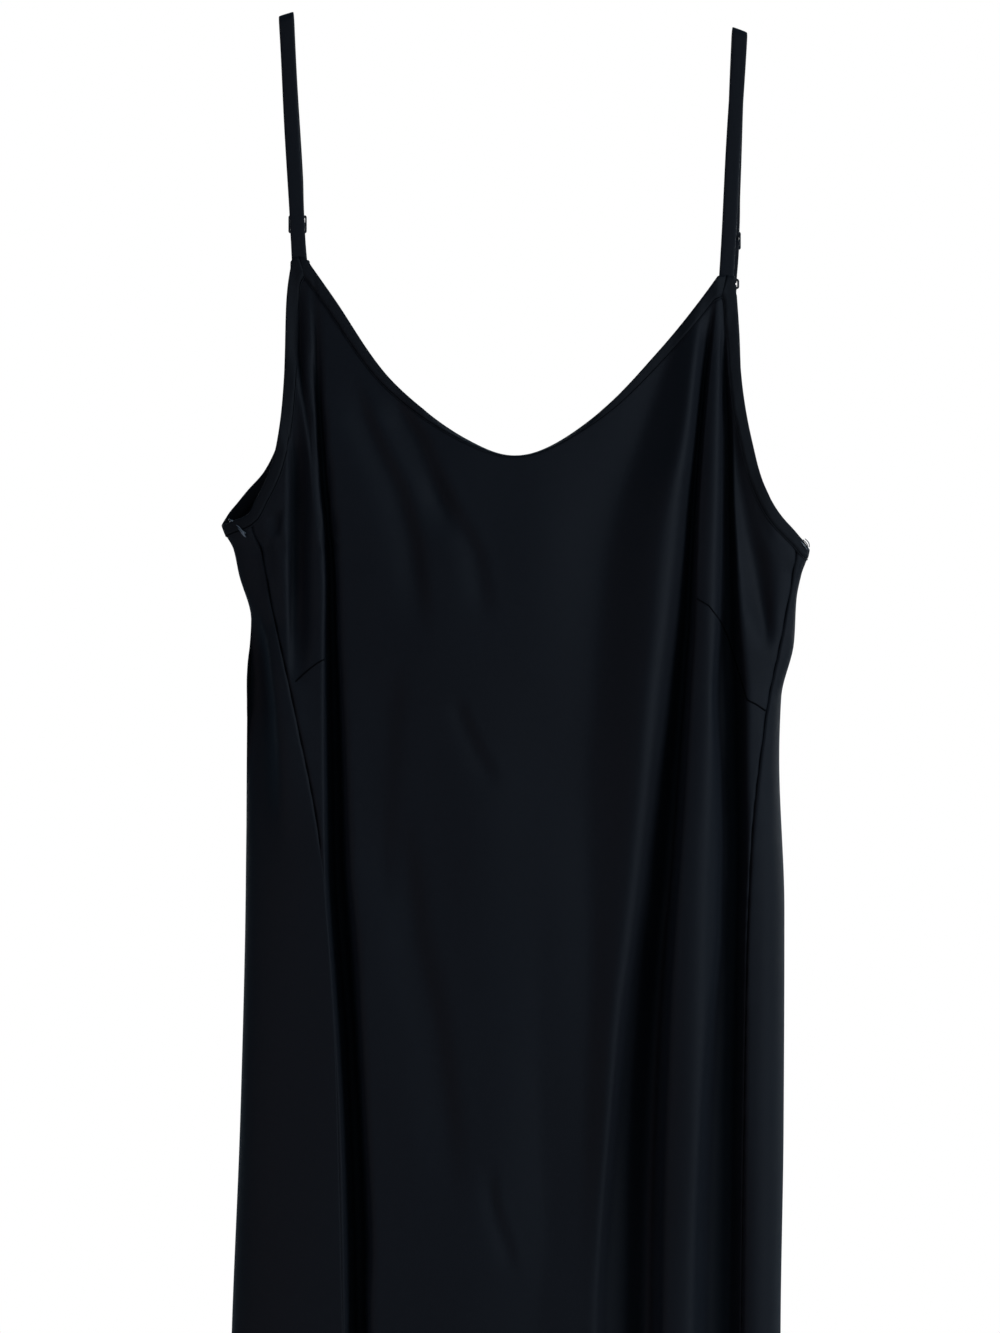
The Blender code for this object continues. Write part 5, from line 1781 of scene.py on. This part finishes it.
def make_lights():
    """A cool main light from the right, a weak fill from the left, and light from behind."""
    studio = bpy.context.scene.slip_dress_studio
    main, fill, behind = studio.key_power, studio.fill_power, studio.back_power
    soft_light("main_light", (2.1, -1.35, 0.1), (1.3, 1.8), main, (0.80, 0.93, 1.10))
    soft_light("fill_light", (-1.9, -1.8, -0.8), (1.2, 1.6), fill, (1.0, 0.76, 0.80))
    soft_light("back_light_right", (1.7, 1.5, 0.3), (0.8, 1.6), behind, (0.93, 0.97, 1.0))
    soft_light("back_light_left", (-1.4, 2.1, 0.3), (1.2, 1.6), behind * 0.6, (1.0, 0.98, 0.96))
    world = bpy.data.worlds.new("white_room")
    world.use_nodes = True
    tree = world.node_tree
    tree.nodes.clear()
    seen = tree.nodes.new("ShaderNodeBackground")
    seen.inputs["Color"].default_value = (1, 1, 1, 1)
    around = tree.nodes.new("ShaderNodeBackground")
    around.inputs["Color"].default_value = (0.45, 0.95, 1.40, 1)
    around.inputs["Strength"].default_value = studio.surround
    path = tree.nodes.new("ShaderNodeLightPath")
    mix = tree.nodes.new("ShaderNodeMixShader")
    out = tree.nodes.new("ShaderNodeOutputWorld")
    tree.links.new(path.outputs["Is Camera Ray"], mix.inputs[0])
    tree.links.new(around.outputs[0], mix.inputs[1])
    tree.links.new(seen.outputs[0], mix.inputs[2])
    tree.links.new(mix.outputs[0], out.inputs[0])
    bpy.context.scene.world = world
    bpy.context.scene.view_settings.view_transform = "Standard"


def make_camera():
    """A level camera in front of the dress, which shows it from the strap tops down to the thigh."""
    lens = bpy.data.cameras.new("camera")
    lens.sensor_width = 36.0
    lens.lens = lens.sensor_width * CAMERA_FAR / VIEW_HEIGHT
    lens.clip_start = 0.1
    lens.clip_end = 20.0
    camera = in_scene("camera", lens)
    camera.location = (CAMERA_X * MM, -CAMERA_FAR * MM, CAMERA_Z * MM)
    camera.rotation_euler = (math.pi / 2, 0, 0)
    bpy.context.scene.camera = camera


OPERATORS = (DRESS_OT_straps, DRESS_OT_front_panel, DRESS_OT_back_panel, DRESS_OT_bindings,
             DRESS_OT_sewing, DRESS_OT_studio)


class DRESS_PT_sidebar(bpy.types.Panel):
    """Settings and steps of the slip dress"""
    bl_idname = "DRESS_PT_sidebar"
    bl_label = "Slip Dress"
    bl_space_type = "VIEW_3D"
    bl_region_type = "UI"
    bl_category = "Slip Dress"

    def draw(self, context):
        layout = self.layout
        for settings in (context.scene.slip_dress_sizes, context.scene.slip_dress_colours,
                         context.scene.slip_dress_studio):
            box = layout.box()
            for name in settings.__annotations__:
                box.prop(settings, name)
        for operator in OPERATORS:
            layout.operator(operator.bl_idname)


GROUPS = {
    "slip_dress_sizes": SlipDressSizes,
    "slip_dress_colours": SlipDressColours,
    "slip_dress_studio": SlipDressStudio,
}


def register():
    for cls in (*GROUPS.values(), *OPERATORS, DRESS_PT_sidebar):
        bpy.utils.register_class(cls)
    for name, group in GROUPS.items():
        setattr(bpy.types.Scene, name, PointerProperty(type=group))


def unregister():
    for name in GROUPS:
        delattr(bpy.types.Scene, name)
    for cls in (DRESS_PT_sidebar, *OPERATORS[::-1], *GROUPS.values()):
        bpy.utils.unregister_class(cls)


def main():
    register()
    bpy.ops.dress.straps()
    bpy.ops.dress.front_panel()
    bpy.ops.dress.back_panel()
    bpy.ops.dress.bindings()
    bpy.ops.dress.sewing()
    bpy.ops.dress.studio()
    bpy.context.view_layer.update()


if __name__ == "__main__":
    main()
